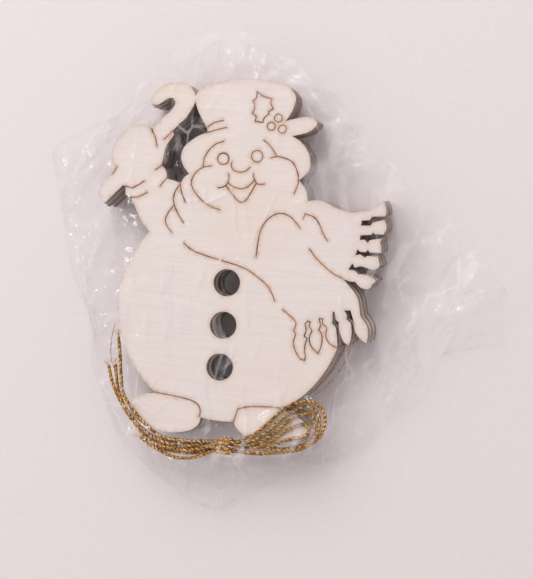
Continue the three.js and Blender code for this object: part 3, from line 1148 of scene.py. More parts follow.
@dataclass
class HangingCords:
    """Four gold cords, each folded in half, all tied together in one overhand knot.

    Each cord runs from the tip of one loose end, through the knot, round its loop, and back through
    the knot to the tip of its other end.

    Attributes:
        radius: A cord's radius.
        lay: The length of one full twist.
        step: The spacing of the sections along it.
        route_step: The spacing of the points of its route.
        swell: How much wider the twist is drawn, to make up for its grooves.
        knot_centre: The middle of the knot.
        knot_half: Half of its length.
        loops: Each cord's loop, from the knot's right side and back to it.
        ends: Each cord's two loose ends, from the knot's left side outward.
    """

    radius: float = 0.5
    lay: float = 2.5
    step: float = 0.2
    route_step: float = 0.5
    swell: float = 1.06
    knot_centre: Point = (1.9, -39.5, 13.6)
    knot_half: float = 2.35
    loops: list[Path] = field(default_factory=list)
    ends: list[tuple[Path, Path]] = field(default_factory=list)

    @staticmethod
    def as_tied() -> HangingCords:
        """Returns the cords as they lie across the snowmen's feet."""
        loops = [
            [(4.7, -38.1, 14.9), (8.2, -36.4, 15), (10.7, -34.8, 14.9), (13.9, -31.7, 14.9),
             (16.6, -28.6, 14.9), (
                 18.7, -26.8, 14.9
             ),
             (21, -25.5, 14.9), (23.6, -24.7, 14.9), (25.9, -24.7, 14.9), (27.8, -25.7, 14.9),
             (
                 29.2, -27.4, 14.9
             ), (29.8, -29.2, 14.9),
             (29.6, -31.2, 14.7), (28.8, -33.7, 13.9), (26.9, -36, 13.5), (24.1, -38, 13.3),
             (
                 20.2, -39.3, 13.2
             ), (16.2, -40.2, 13.1),
             (12.1, -40.7, 12.9), (8, -40.9, 12.6), (4.7, -40.7, 12.3)],
            [(4.7, -39.4, 14.9), (8.3, -37.7, 15), (11.4, -36.1, 14.9), (14.8, -33.1, 14.9),
             (17.8, -29.9, 14.9), (
                 19.7, -28.3, 14.9
             ),
             (21.7, -27, 14.9), (23.8, -26.2, 14.9), (25.4, -26.2, 14.9), (26.8, -27.1, 14.9),
             (
                 27.9, -28.5, 14.9
             ), (28.4, -30.2, 14.9),
             (28.2, -32.4, 14.9), (27, -34.9, 14.9), (24.3, -37.1, 14.8), (20.6, -38.4, 14.8),
             (16.6, -39.2, 14.8), (12.4, -40, 14.8), (8.4, -40.5, 14.8), (4.7, -40.7, 14.9)],
            [(4.7, -38.1, 13.6), (7.8, -38.2, 13.8), (10.2, -37.9, 14.4), (12.4, -37, 14.9),
             (15.7, -34.3, 14.9), (
                 18.7, -31.3, 14.9
             ),
             (20.6, -29.8, 14.9), (22.6, -28.6, 14.9), (24.3, -28, 14.9), (25.7, -28.2, 14.9),
             (
                 26.7, -29.4, 14.9
             ), (27, -31.2, 14.9),
             (26.9, -33.4, 14.4), (25.6, -35.7, 13), (22.6, -37.6, 12), (19, -38.7, 12),
             (15, -38.9, 11.8), (11, -38.7, 11.4), (7.8, -38.4, 11.5), (4.7, -38.1, 12.3)],
            [(4.7, -39.4, 13.6), (8, -39.4, 13.6), (10.9, -39, 14.1), (13.3, -38, 14.8), (15.9, -36, 14.9),
             (
                 18.3, -33.9, 14.9
             ), (20.5, -32.4, 14.9), (22.5, -31.4, 14.9), (24, -31.1, 14.9), (25.2, -31.6, 14.9),
             (
                 25.6, -32.8, 14.9
             ), (24.9, -34, 14.9), (22.6, -34.9, 14.9), (19.6, -35.9, 14.9), (17.1, -37.2, 14.9),
             (14.8, -38.4, 14.4), (12.2, -39, 12.9), (8.4, -39.5, 12.4), (4.7, -39.4, 12.3)],
        ]
        long_end = [(-0.9, -38.4, 14.9), (-4, -38.6, 14.8), (-8.1, -39, 14.5), (-12.2, -39, 14.4),
                    (-15.9, -38.6, 14.7), (-19.4, -36.8, 14.9), (-22.7, -34.3, 14.9),
                    (-25.9, -31, 14.9), (-28.4, -27.6, 14.7), (-29.7, -22.5, 14), (-30.8, -16.7, 13),
                    (-31.9, -11.9, 12.2)]
        second = [(-0.9, -38.4, 13.6), (-4, -39.3, 13.6), (-8, -40.3, 14.2), (-12.2, -40.3, 14.3),
                  (-16.2, -39.9, 14.6), (-20, -38.1, 14.9),
                  (
                      -23.6, -35.5, 14.9
                  ), (-26.9, -32, 14.9),
                  (-29.6, -28, 14.3), (-31, -24, 13.4), (-32, -19.8, 12.4)]
        third = [(-0.9, -38.4, 12.3), (-4, -38.9, 12.2), (-8, -39.6, 12.9), (-12.2, -39.7, 12.9),
                 (-16.4, -39.6, 12.9), (-20.7, -38.3, 12.9), (-24.3, -36.2, 12.9), (-27.2, -33.2, 12.8),
                 (-29.9, -29.6, 12.5), (-32.5, -25.2, 12.1), (-34.2, -20.4, 11.7)]
        fourth = [(-0.9, -39.7, 14.9), (-4, -40.4, 15), (-8, -41.6, 14.5), (-12.2, -41.6, 14.3),
                  (-16.4, -41.1, 14.4), (-20, -39.5, 14.5), (-23.1, -37.4, 14.4)]
        fifth = [(-0.9, -41, 14.9), (-4, -42.5, 14.7), (-7.8, -43.9, 14.2), (-11.6, -44.1, 13.9),
                 (-14.9, -43.3, 14), (-18.1, -41.9, 14.1), (-21.2, -40.2, 14.2), (-22.4, -39.4, 14.2)]
        sixth = [(-0.9, -39.7, 13.6), (-4, -40.6, 13.5), (-8, -41.1, 13), (-12.2, -41.1, 12.9),
                 (-16.4, -41, 12.9), (-19.5, -40, 13), (-21.2, -39.6, 12.9)]
        seventh = [(-0.9, -41, 13.6), (-4, -42, 13.2), (-8, -42.6, 12.8), (-12.2, -42.6, 12.7),
                   (-16, -42.3, 12.7), (-18.9, -41.6, 12.7)]
        eighth = [
            (-0.9, -41, 12.3),
            (-4, -41.3, 11.9),
            (-8, -41.8, 11.6),
            (-12.2, -41.9, 11.5),
            (-15.5, -41.6, 11.5),
        ]
        return HangingCords(
            loops=loops, ends=[(long_end, eighth), (fourth, fifth), (second, third), (sixth, seventh)]
        )

    def replaced(self, cord: int) -> list[str]:
        """Lists the part's own nodes that one cord stands for.

        Args:
            cord: The cord's number, from zero.

        Returns:
            The loop's node and the two loose ends' nodes.
        """
        return {
            0: ["cord_loop_1", "cord_end_1", "cord_end_8"],
            1: ["cord_loop_2", "cord_end_4", "cord_end_5"],
            2: ["cord_loop_3", "cord_end_2", "cord_end_3"],
            3: ["cord_loop_4", "cord_end_6", "cord_end_7"],
        }[cord]

    def knot_line(self) -> np.ndarray:
        """Follows the strand that wraps the knot, from inside it to inside it again.

        Returns:
            The strand's points, one row each.
        """
        x, y, z = self.knot_centre
        first, last = -0.35, 4.5  # in turns
        turn = np.linspace(first, last, 150)
        spread = np.clip(np.minimum(turn - first, last - turn) / 0.45, 0.0, 1.0)
        reach = 0.6 + 0.4 * np.sin(spread * math.pi / 2)
        angle = turn * math.tau + 2.2
        rise = 1.95 * reach * np.sin(angle) * (1 + 0.04 * np.sin(turn * 5.1))
        side = 2.05 * reach * np.cos(angle) * (1 + 0.05 * np.cos(turn * 3.7))
        along = (turn - 2.08) / 2.43 * (self.knot_half - self.radius) + 0.16 * side
        return np.stack([x + along, y + side, z + rise], axis=1)

    def build(self, material: bpy.types.Material) -> list[bpy.types.Object]:
        """Makes and places every cord, its frayed tips and the knot.

        Args:
            material: The gold thread.

        Returns:
            The pieces.
        """
        twist, fray = twisted_cord_tree(), frayed_end_tree()
        sizes = {"Radius": self.radius * self.swell * MM, "Step": self.step * MM, "Lay": self.lay * MM}
        pieces = []
        for number, (loop, (first, last)) in enumerate(zip(self.loops, self.ends)):
            line = smooth_path([*reversed(first), *loop, *last], self.route_step)
            cord = grow(f"gold_cord_{number + 1}", twist, line, material, **sizes)
            tips = []
            for side, tip in enumerate((line[:8], line[::-1][:8])):
                name = f"gold_cord_{number + 1}_fray_{side + 1}"
                threads = grow(name, fray, tip, material, Seed=11 * number + side + 3)
                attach(threads, BAG)
                tips.append(threads)
            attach(cord, BAG)
            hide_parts(*self.replaced(number))
            log.info("cord %d is %.0f mm long", number + 1, path_length(line))
            pieces += [cord, *tips]
        knot = grow("gold_cord_knot", twist, self.knot_line(), material, **sizes)
        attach(knot, BAG)
        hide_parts("cord_knot")
        pieces.append(knot)
        return pieces


@dataclass
class LooseTinsel:
    """Fine gold threads shed by the cords, which lie loose in the bag."""

    radius: float = 0.1
    step: float = 0.5
    sides: int = 4
    threads: list[Path] = field(
        default_factory=lambda: [
            [
                (-21.6, 51, 1.1),
                (-20.6, 48.2, 1.2),
                (-19.4, 45.8, 1.3),
                (-20.6, 44, 1.2),
                (-23.4, 43.3, 1.1),
            ],
            [(-24.6, 45.4, 1.1), (-22.6, 44.4, 1.2), (-20.2, 45.2, 1.3), (-18.2, 47.4, 1.2)],
            [(-21.4, 37.8, 1.1), (-20.2, 37, 1.2), (-20.8, 36.2, 1.2), (-19.4, 36.6, 1.1)],
            [(-3.8, -19.6, 0.7), (-2.6, -17.2, 0.9), (-3.6, -15.4, 0.7)],
            [
                (33.6, -9.6, 5.2),
                (31.9, -14.6, 5.6),
                (28.7, -19.4, 5.3),
                (24.4, -23.8, 5.6),
                (21.2, -26.6, 5.4),
            ],
            [(-35.8, -8.4, 3.2), (-36.6, -13.2, 2.8), (-36.2, -18.4, 3.0), (-35.2, -21.4, 2.6)],
        ]
    )

    def build(self, material: bpy.types.Material) -> list[bpy.types.Object]:
        """Makes each thread as a fine tube.

        Args:
            material: The gold thread.

        Returns:
            The one piece that holds them all.
        """
        vertices, faces, along = [], [], []
        for path in self.threads:
            line = smooth_path(path, self.step)
            start = len(vertices)
            for i, point in enumerate(line):
                ahead = Vector(line[min(i + 1, len(line) - 1)] - line[max(i - 1, 0)]).normalized()
                side = ahead.cross(Vector((0.0, 0.0, 1.0))).normalized()
                up = side.cross(ahead)
                for k in range(self.sides):
                    turn = k * math.tau / self.sides
                    offset = (side * math.cos(turn) + up * math.sin(turn)) * self.radius
                    vertices.append(tuple(Vector(point) + offset))
                    along.append(i * self.step * MM)
            for i in range(len(line) - 1):
                for k in range(self.sides):
                    a, b = (start + self.sides * i + side for side in (k, (k + 1) % self.sides))
                    faces.append((a, a + self.sides, b + self.sides, b))
            end = len(vertices) - self.sides
            faces += [tuple(range(start, start + self.sides)), tuple(reversed(range(end, len(vertices))))]
        obj = new_mesh("loose_tinsel", np.array(vertices), faces, [material])
        store(obj.data, "along", np.array(along))
        store(obj.data, "around", np.ones(len(vertices)))
        outward(obj)
        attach(obj, BAG)
        return [obj]


def outward(obj: bpy.types.Object) -> None:
    """Turns a closed mesh's faces outward.

    Args:
        obj: The mesh object.
    """
    work = bmesh.new()
    work.from_mesh(obj.data)
    bmesh.ops.recalc_face_normals(work, faces=work.faces)
    work.to_mesh(obj.data)
    work.free()


def flat_loops(node: bpy.types.Object) -> list[np.ndarray]:
    """Finds the boundary loops of a node's upper flat faces.

    Args:
        node: A node of the part, whose upper face is level.

    Returns:
        The loops in millimetres in the plane, the longest first.
    """
    work = bmesh.new()
    work.from_mesh(node.data)
    bmesh.ops.remove_doubles(work, verts=work.verts, dist=1e-6)
    top = max(v.co.z for v in work.verts)
    level = {f for f in work.faces if all(v.co.z > top - 1e-5 for v in f.verts)}
    following = {}
    for face in level:
        for loop in face.loops:
            if not any(other in level for other in loop.edge.link_faces if other != face):
                following[loop.vert] = loop.link_loop_next.vert
    loops = []
    while following:
        start, here = next(iter(following.items()))
        ring = [start]
        del following[start]
        while here != start:
            ring.append(here)
            here = following.pop(here)
        loops.append(np.array([v.co.xy for v in ring], float) / MM)
    work.free()
    return sorted(loops, key=lambda ring: -path_length(ring))


def rounded_loop(ring: np.ndarray, chord: float, corner: float = 38.0) -> np.ndarray:
    """Puts curves back through a faceted outline, and keeps its sharp corners.

    Args:
        ring: The outline's points.
        chord: The new points' spacing.
        corner: The turn, in degrees, from which a point is a corner.

    Returns:
        The new outline.
    """
    before = ring - np.roll(ring, 1, axis=0)
    after = np.roll(ring, -1, axis=0) - ring
    bend = np.degrees(
        np.arctan2(before[:, 0] * after[:, 1] - before[:, 1] * after[:, 0], (before * after).sum(1))
    )
    corners = np.flatnonzero(np.abs(bend) > corner)
    if len(corners) < 2:
        return smooth_path(ring.tolist(), chord, closed=True)
    pieces = []
    for a, b in zip(corners, np.append(corners[1:], corners[0] + len(ring))):
        stretch = [tuple(ring[k % len(ring)]) for k in range(a, b + 1)]
        pieces.append(smooth_path(stretch, chord)[:-1])
    return np.vstack(pieces)


# ---- The snowmen ------------------------------------------------------------------------------------


class Line(Enum):
    """The engraved lines, by the part of the snowman that they draw."""

    NOSE = ((-2.9, 39.7), (-2.9, 38.6), (-2.2, 37.7), (-0.3, 37.2), (1.4, 37.7), (2.4, 38.8))
    LIP = ((-4, 33.2), (-3.5, 34), (-1.8, 33), (0.4, 32.6), (2.4, 33.4), (4, 35.3), (4.6, 34.5))
    CHIN = ((-4, 33.2), (-1.5, 30.4), (0.1, 29), (1.2, 28.9), (2.2, 29.7), (3.6, 32.4), (4.6, 34.5))
    SMILE_LEFT = ((-6.2, 32.4), (-5.1, 32.6), (-4, 33.2))
    SMILE_RIGHT = ((4.6, 34.4), (5.6, 34.2), (7, 34.4))
    DIMPLE_LEFT = ((-3.5, 36.4), (-3.3, 35.3), (-3.5, 34.2))
    DIMPLE_RIGHT = ((3.6, 37), (3.7, 36.1), (4.3, 35))
    CHEEK_LEFT = ((-8.7, 38.4), (-11, 37.8), (-12.4, 36.8), (-13.6, 35.1), (-14, 33.1), (-12.9, 30.9),
                  (-10.2, 28.3), (-7.5, 26.9), (-5, 26.3))
    CHEEK_RIGHT = (
        (8.1, 41.8),
        (9.9, 42.3),
        (12.2, 42),
        (14.4, 41),
        (15.7, 39.1),
        (16.3, 37.2),
        (16.4, 35.2),
        (15.5, 32.3),
    )
    BROW_LEFT = ((-11, 37.9), (-10.9, 40.2), (-9.5, 43), (-7.6, 44.7), (-5.7, 45.5))
    BROW_RIGHT = ((5.7, 46.6), (7.7, 45.1), (9.1, 43.4), (9.9, 42.3))
    HAT_FOLD_UPPER = ((-10.6, 49.3), (-8.7, 50.6), (-6.3, 51.3))
    HAT_FOLD_LOWER = ((-10.7, 47.6), (-7.9, 48.6), (-5.2, 49.4))
    LEAF_RIGHT = (
        (2.7, 60),
        (4.5, 58.8),
        (7, 58.2),
        (6.8, 57.1),
        (7.6, 55.5),
        (6.4, 54.6),
        (6.5, 53.9),
        (5.3, 52.8),
        (5, 51.5),
    )
    LEAF_LEFT = (
        (5, 51.5),
        (2.8, 51.7),
        (3, 53),
        (1.8, 53.9),
        (2.2, 54.7),
        (2.2, 56.4),
        (1.7, 57.3),
        (2.5, 58.1),
        (2.7, 60),
    )
    ARM_INNER = ((-17.1, 32.8), (-16.7, 30.7), (-15.2, 27.6))
    ARM_OUTER = ((-17.1, 32.8), (-18.4, 30.6), (-18.8, 28.4), (-18.4, 26.8), (-16.8, 23.8), (-15.2, 21.8))
    SLEEVE = ((-18.4, 26.8), (-20.2, 23.8), (-20.6, 22), (-19.9, 20.5), (-18.4, 18.8))
    CUFF_UPPER = ((-33, 30.9), (-31, 30.6), (-29.5, 31.4), (-27.7, 32.7))
    CUFF_LOWER = ((-31.2, 27.9), (-29.2, 28.1), (-26.5, 29.6))
    MITTEN = ((-26.7, 47.3), (-25.5, 45.1), (-24.8, 42.7))
    CANE_LEFT = ((-37.3, 34.2), (-36, 36))
    CANE_MIDDLE = ((-24.7, 36.1), (-23, 37.5))
    CANE_RIGHT = ((-22.9, 31.7), (-21.1, 34.2))
    CANE_UPPER = ((-22.9, 44.9), (-20.9, 47.1))
    SCARF_HEM = ((-14.7, 16.2), (-12.3, 14.5), (-8.5, 13.3), (-3.6, 12.2), (1.8, 11), (4.5, 10),
                 (7.5, 8.2), (10.4, 6), (11.7, 4.1), (12.7, 2.1))
    SCARF_HEM_END = ((15.1, 0), (17.1, -1.4), (18.5, -2.5), (19.2, -3.6), (18.7, -5.6))
    SCARF_KNOT = ((6.3, 13.9), (6.5, 18.1), (6.9, 21.1), (8, 23.7), (9.6, 25.5), (11.8, 26.6),
                  (14.1, 26.3), (16.2, 25), (18.1, 22.9))
    SCARF_FOLD = ((18.7, 25.5), (19.1, 27), (21.7, 26.3), (23.6, 24.1), (24.7, 21.8), (26, 20.1))
    SCARF_DIVIDE = ((21.3, 17.3), (23.2, 15.1), (26.4, 12.5), (29.1, 10.8), (31.1, 10.1))
    TASSEL_FIRST = ((18.7, -5.6), (19.3, -6.5), (18.9, -8.4), (19.2, -10.1), (20.1, -11.8),
                    (21.3, -13.2), (22.5, -13.5),
                    (
                        22.6, -12.2
                    ), (22.2, -10.8),
                    (22.4, -8.4), (22.7, -7.4), (21.8, -6.8), (22.2, -5), (21.7, -3.4), (22.4, -2.6),
                    (23.1, -2.7), (23, -4))
    TASSEL_SECOND = ((23, -4), (23.9, -5.2), (23.4, -6.2), (23.3, -7.8), (24.2, -9.7), (26.1, -11.3),
                     (26.7, -9.5), (26.9, -7.5), (26.6, -5.8), (25.7, -4.6), (26.1, -3.6), (25.6, -1.6),
                     (26.5, -1.6), (26.6, -2.9))
    TASSEL_THIRD = ((26.6, -2.9), (27.8, -3.8), (27.8, -6.2), (28.5, -7.6), (29.5, -8.5), (31.2, -9.2))
    FOOT_LEFT = ((-19.8, -26.3), (-12.1, -27.1), (-8.6, -27.7), (-6.7, -28.7), (-5.9, -30.1), (-6, -31.9))
    FOOT_RIGHT = ((3.9, -32.2), (4.8, -28.8), (7.5, -27.9), (14.9, -27.3), (17.3, -27.4))


class Ring(Enum):
    """The engraved circles: centre across, centre up and radius."""

    EYE_LEFT = (-5.4, 40.6, 1.62)
    EYE_RIGHT = (4.2, 42.0, 1.62)
    BERRY_UPPER = (9.3, 53.0, 1.12)
    BERRY_LEFT = (7.5, 50.6, 1.12)
    BERRY_RIGHT = (10.7, 50.0, 1.12)


@dataclass(frozen=True)
class BurnMark:
    """How the scorch beside a laser's cut fades.

    Attributes:
        strength: Its share of the full colour at the cut.
        reach: How far away it has faded to about a third.
    """

    strength: float
    reach: float

    def at(self, distance: np.ndarray) -> np.ndarray:
        """Says how strong the scorch is.

        Args:
            distance: How far each point is from the cut.

        Returns:
            Its strength at each point.
        """
        return self.strength * np.exp(-distance / self.reach)


@dataclass
class Snowmen:
    """Four identical plywood snowmen, cut and engraved by laser.

    Attributes:
        slots: How each lies in the stack, lowest first: shift across, shift up and turn in degrees.
        line_width: The width of an engraved line.
        line_depth: Its depth.
        cell: The spacing of the vertices that carry the scorch marks.
        margin: How far those vertices keep from a cut or a line.
        outline_step: The spacing of the vertices on a cut.
        line_step: Their spacing on an engraved line.
        cut_mark: The scorch beside a cut.
        line_mark: The scorch beside an engraved line.
        back_mark: The scorch beside a cut on the lower face.
        seed: For the places of the vertices between the lines.
    """

    slots: tuple[Point, ...] = ((0.3, 0.2, 0.9), (-0.2, 0.3, 0.3), (0.3, -0.1, 0.6), (0.0, 0.0, 0.0))
    line_width: float = 0.33
    line_depth: float = 0.25
    cell: float = 0.95
    margin: float = 0.34
    outline_step: float = 0.55
    line_step: float = 0.6
    cut_mark: BurnMark = BurnMark(0.5, 0.45)
    line_mark: BurnMark = BurnMark(0.62, 0.35)
    back_mark: BurnMark = BurnMark(0.7, 0.6)
    seed: int = 7

    def strokes(self) -> list[np.ndarray]:
        """Draws the outline of every engraved stroke.

        Returns:
            One closed outline for each stroke, in the plane. A line with corners gives several.
        """
        outlines = []
        for line in Line:
            points = np.array(line.value, float)
            start = 0
            for i in range(1, len(points)):
                last = i == len(points) - 1
                a, b = points[i] - points[i - 1], points[min(i + 1, len(points) - 1)] - points[i]
                bend = 0.0 if last else abs(math.atan2(a[0] * b[1] - a[1] * b[0], a @ b))
                if last or bend > math.radians(55):
                    outlines.append(
                        self.stroke(smooth_path(points[start : i + 1].tolist(), self.line_step))
                    )
                    start = i
        for ring in Ring:
            x, y, r = ring.value
            for half in (0.0, math.pi):
                turn = np.linspace(half, half + math.pi, 12)
                outlines.append(self.stroke(np.stack([x + r * np.cos(turn), y + r * np.sin(turn)], axis=1)))
        return outlines

    def stroke(self, line: np.ndarray) -> np.ndarray:
        """Widens a line to the laser's width, with ends that reach a third of that past it.

        Args:
            line: The line's points in the plane.

        Returns:
            The stroke's closed outline.
        """
        ahead = np.gradient(line, axis=0)
        ahead /= np.linalg.norm(ahead, axis=1)[:, None]
        side = np.stack([-ahead[:, 1], ahead[:, 0]], axis=1) * self.line_width / 2
        long = line.copy()
        long[0] -= ahead[0] * self.line_width * 0.35
        long[-1] += ahead[-1] * self.line_width * 0.35
        return np.vstack([long + side, (long - side)[::-1]])

    def plate(self, loops: list[np.ndarray]) -> tuple[np.ndarray, list, list[int], np.ndarray, np.ndarray]:
        """Makes one engraved plate whose upper face is at height zero.

        Args:
            loops: The cut outline and the holes in it.

        Returns:
            The vertices, the faces, each face's material slot, and each vertex's scorch and height in
            the ply.
        """
        strokes = self.strokes()
        rings = [rounded_loop(loop, self.outline_step) for loop in loops]
        outlines = [*rings, *strokes]
        grid = staggered_grid(rings[0], self.cell, 0.12, self.seed)
        grid = grid[from_segments(grid, *ring_edges(outlines)) > self.margin]
        faces, at = [], 0
        for ring in outlines:
            faces.append(list(range(at, at + len(ring))))
            at += len(ring)
        points = [Vector(p) for p in np.vstack([*outlines, grid])]
        flat, _, triangles, _, _, _ = geometry.delaunay_2d_cdt(points, [], faces, 0, 1e-4, False)
        flat = np.array(flat)
        middles = flat[np.array(triangles)].mean(1)
        solid = is_inside(middles, rings[0])
        for hole in rings[1:]:
            solid &= ~is_inside(middles, hole)
        burnt = np.zeros(len(middles), bool)
        for outline in strokes:
            near = np.flatnonzero(((middles > outline.min(0)) & (middles < outline.max(0))).all(1))
            burnt[near] |= is_inside(middles[near], outline)
        turned = [(turned_up(flat, triangles[k]), bool(burnt[k])) for k in np.flatnonzero(solid)]
        n = len(flat)
        out, slots = self.thicken(turned, n)
        levels = np.repeat([0.0, -PLY, -self.line_depth], n)
        vertices = np.column_stack([np.tile(flat, (3, 1)), levels])
        cut = from_segments(flat, *ring_edges(rings))
        drawn = from_segments(flat, *ring_edges(strokes))
        scorch = np.tile(np.clip(self.cut_mark.at(cut) + self.line_mark.at(drawn), 0, 1), 3)
        scorch[n : 2 * n] = np.clip(self.back_mark.at(cut), 0, 1)
        height = np.repeat([1.0, 0.0, 1 - self.line_depth / PLY], n)
        used = np.unique(np.concatenate([np.array(f) for f in out]))
        renumber = np.full(3 * n, -1)
        renumber[used] = np.arange(len(used))
        return vertices[used], [
            tuple(renumber[list(f)].tolist()) for f in out
        ], slots, scorch[used], height[used]

    def thicken(self, turned: list[tuple[tuple[int, ...], bool]], n: int) -> tuple[list, list[int]]:
        """Gives the upper triangles a back, cut walls, and sunken floors where they are engraved.

        Args:
            turned: Each upper triangle, and whether it is engraved.
            n: How many vertices each level has. The upper face is the first, the back is the second,
                and the floor of the engraving is the third.

        Returns:
            The faces, and each one's material slot.
        """
        owner = {}
        for t, engraved in turned:
            for i, j in zip(t, t[1:] + t[:1]):
                owner[(i, j)] = engraved
        rim = {edge: engraved for edge, engraved in owner.items() if edge[::-1] not in owner}
        rim_marks = {}
        for (i, j), engraved in rim.items():
            rim_marks.setdefault(i, []).append(engraved)
            rim_marks.setdefault(j, []).append(engraved)
        mixed = {i for i, marks in rim_marks.items() if len(marks) == 2 and marks[0] != marks[1]}
        out, slots = [], []
        for t, engraved in turned:
            out.append(tuple(i + 2 * n for i in t) if engraved else t)
            slots.append(ENGRAVED if engraved else FACE)
            out.append(tuple(i + n for i in reversed(t)))
            slots.append(FACE)
        for (i, j), engraved in rim.items():
            level = 2 * n if engraved else 0
            wall = [i + level]
            wall += [i + 2 * n] if i in mixed and not engraved else []
            wall += [i + n, j + n]
            wall += [j + 2 * n] if j in mixed and not engraved else []
            out.append((*wall, j + level))
            slots.append(EDGE)
        for (i, j), engraved in owner.items():
            if engraved and owner.get((j, i)) is False:
                out.append((i, j, j + 2 * n, i + 2 * n))
                slots.append(ENGRAVED)
        return out, slots

    def build(self, frame: dict, finishes: list[bpy.types.Material]) -> list[bpy.types.Object]:
        """Makes the four snowmen, each in place of its own node.

        Args:
            finishes: The materials of the face, the cut edge and the engraved line.

        Returns:
            The snowmen, lowest first.
        """
        loops = flat_loops(frame["nodes"][f"snowman_{len(self.slots)}"])
        vertices, faces, slots, scorch, height = self.plate(loops)
        made = []
        for level, (x, y, turn) in enumerate(self.slots):
            name = f"snowman_{level + 1}"
            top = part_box(name)[1].z / MM
            angle = math.radians(turn)
            spin = np.array(
                [[math.cos(angle), math.sin(angle), 0], [-math.sin(angle), math.cos(angle), 0], [0, 0, 1]]
            )
            obj = new_mesh(f"plywood_{name}", vertices @ spin + [x, y, top], faces, finishes)
            obj.data.polygons.foreach_set("material_index", slots)
            store(obj.data, "scorch", scorch)
            store(obj.data, "ply", height)
            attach(obj, f"ornament_{level + 1}")
            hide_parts(name)
            made.append(obj)
            log.info("%s has %d faces", obj.name, len(obj.data.polygons))
        return made


# ---- The label --------------------------------------------------------------------------------------


@dataclass
class LabelCard:
    """The printed card under the stack, with square corners and a slight wave."""

    width: float = 43.5
    height: float = 27.0
    centre: Point = (-8.3, 37.6, 0.75)
    turn: float = -33.4
    thickness: float = 0.28
    rule_below_top: float = 7.6  # from the card's upper edge to the printed rule

    def build(self, material: bpy.types.Material) -> list[bpy.types.Object]:
        """Makes the card as a closed sheet with a fine grid.

        Args:
            material: The printed card.

        Returns:
            The one piece.
        """
        across, down = 30, 18
        u, v = np.meshgrid(np.linspace(-0.5, 0.5, across + 1), np.linspace(0.5, -0.5, down + 1))
        flat = np.column_stack([u.ravel() * self.width, v.ravel() * self.height])
        angle = math.radians(self.turn)
        spin = np.array([[math.cos(angle), math.sin(angle)], [-math.sin(angle), math.cos(angle)]])
        place = flat @ spin + self.centre[:2]
        wave = 0.1 * np.sin(flat[:, 0] * 0.12) * np.cos(flat[:, 1] * 0.1)
        n = len(flat)
        upper = np.column_stack([place, self.centre[2] + self.thickness / 2 + wave])
        lower = upper - [0, 0, self.thickness]
        faces = []
        for r in range(down):
            for c in range(across):
                a = r * (across + 1) + c
                quad = (a, a + across + 1, a + across + 2, a + 1)
                faces += [quad, tuple(k + n for k in reversed(quad))]
        rim = [*range(across), *(across + r * (across + 1) for r in range(down))]
        rim += [n - 1 - c for c in range(across)]
        rim += [(down - r) * (across + 1) for r in range(down)]
        faces += [(a, b, b + n, a + n) for a, b in zip(rim, rim[1:] + rim[:1])]
        obj = new_mesh("printed_label_card", np.vstack([upper, lower]), faces, [material])
        store(obj.data, "down", np.tile(self.height / 2 - flat[:, 1] - self.rule_below_top, 2))
        outward(obj)
        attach(obj, BAG)
        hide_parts("label_card")
        return [obj]


# ---- The film bag -----------------------------------------------------------------------------------


class Side(Enum):
    """The bag's two films."""

    BACK = "bag_back_film"
    FRONT = "bag_front_film"


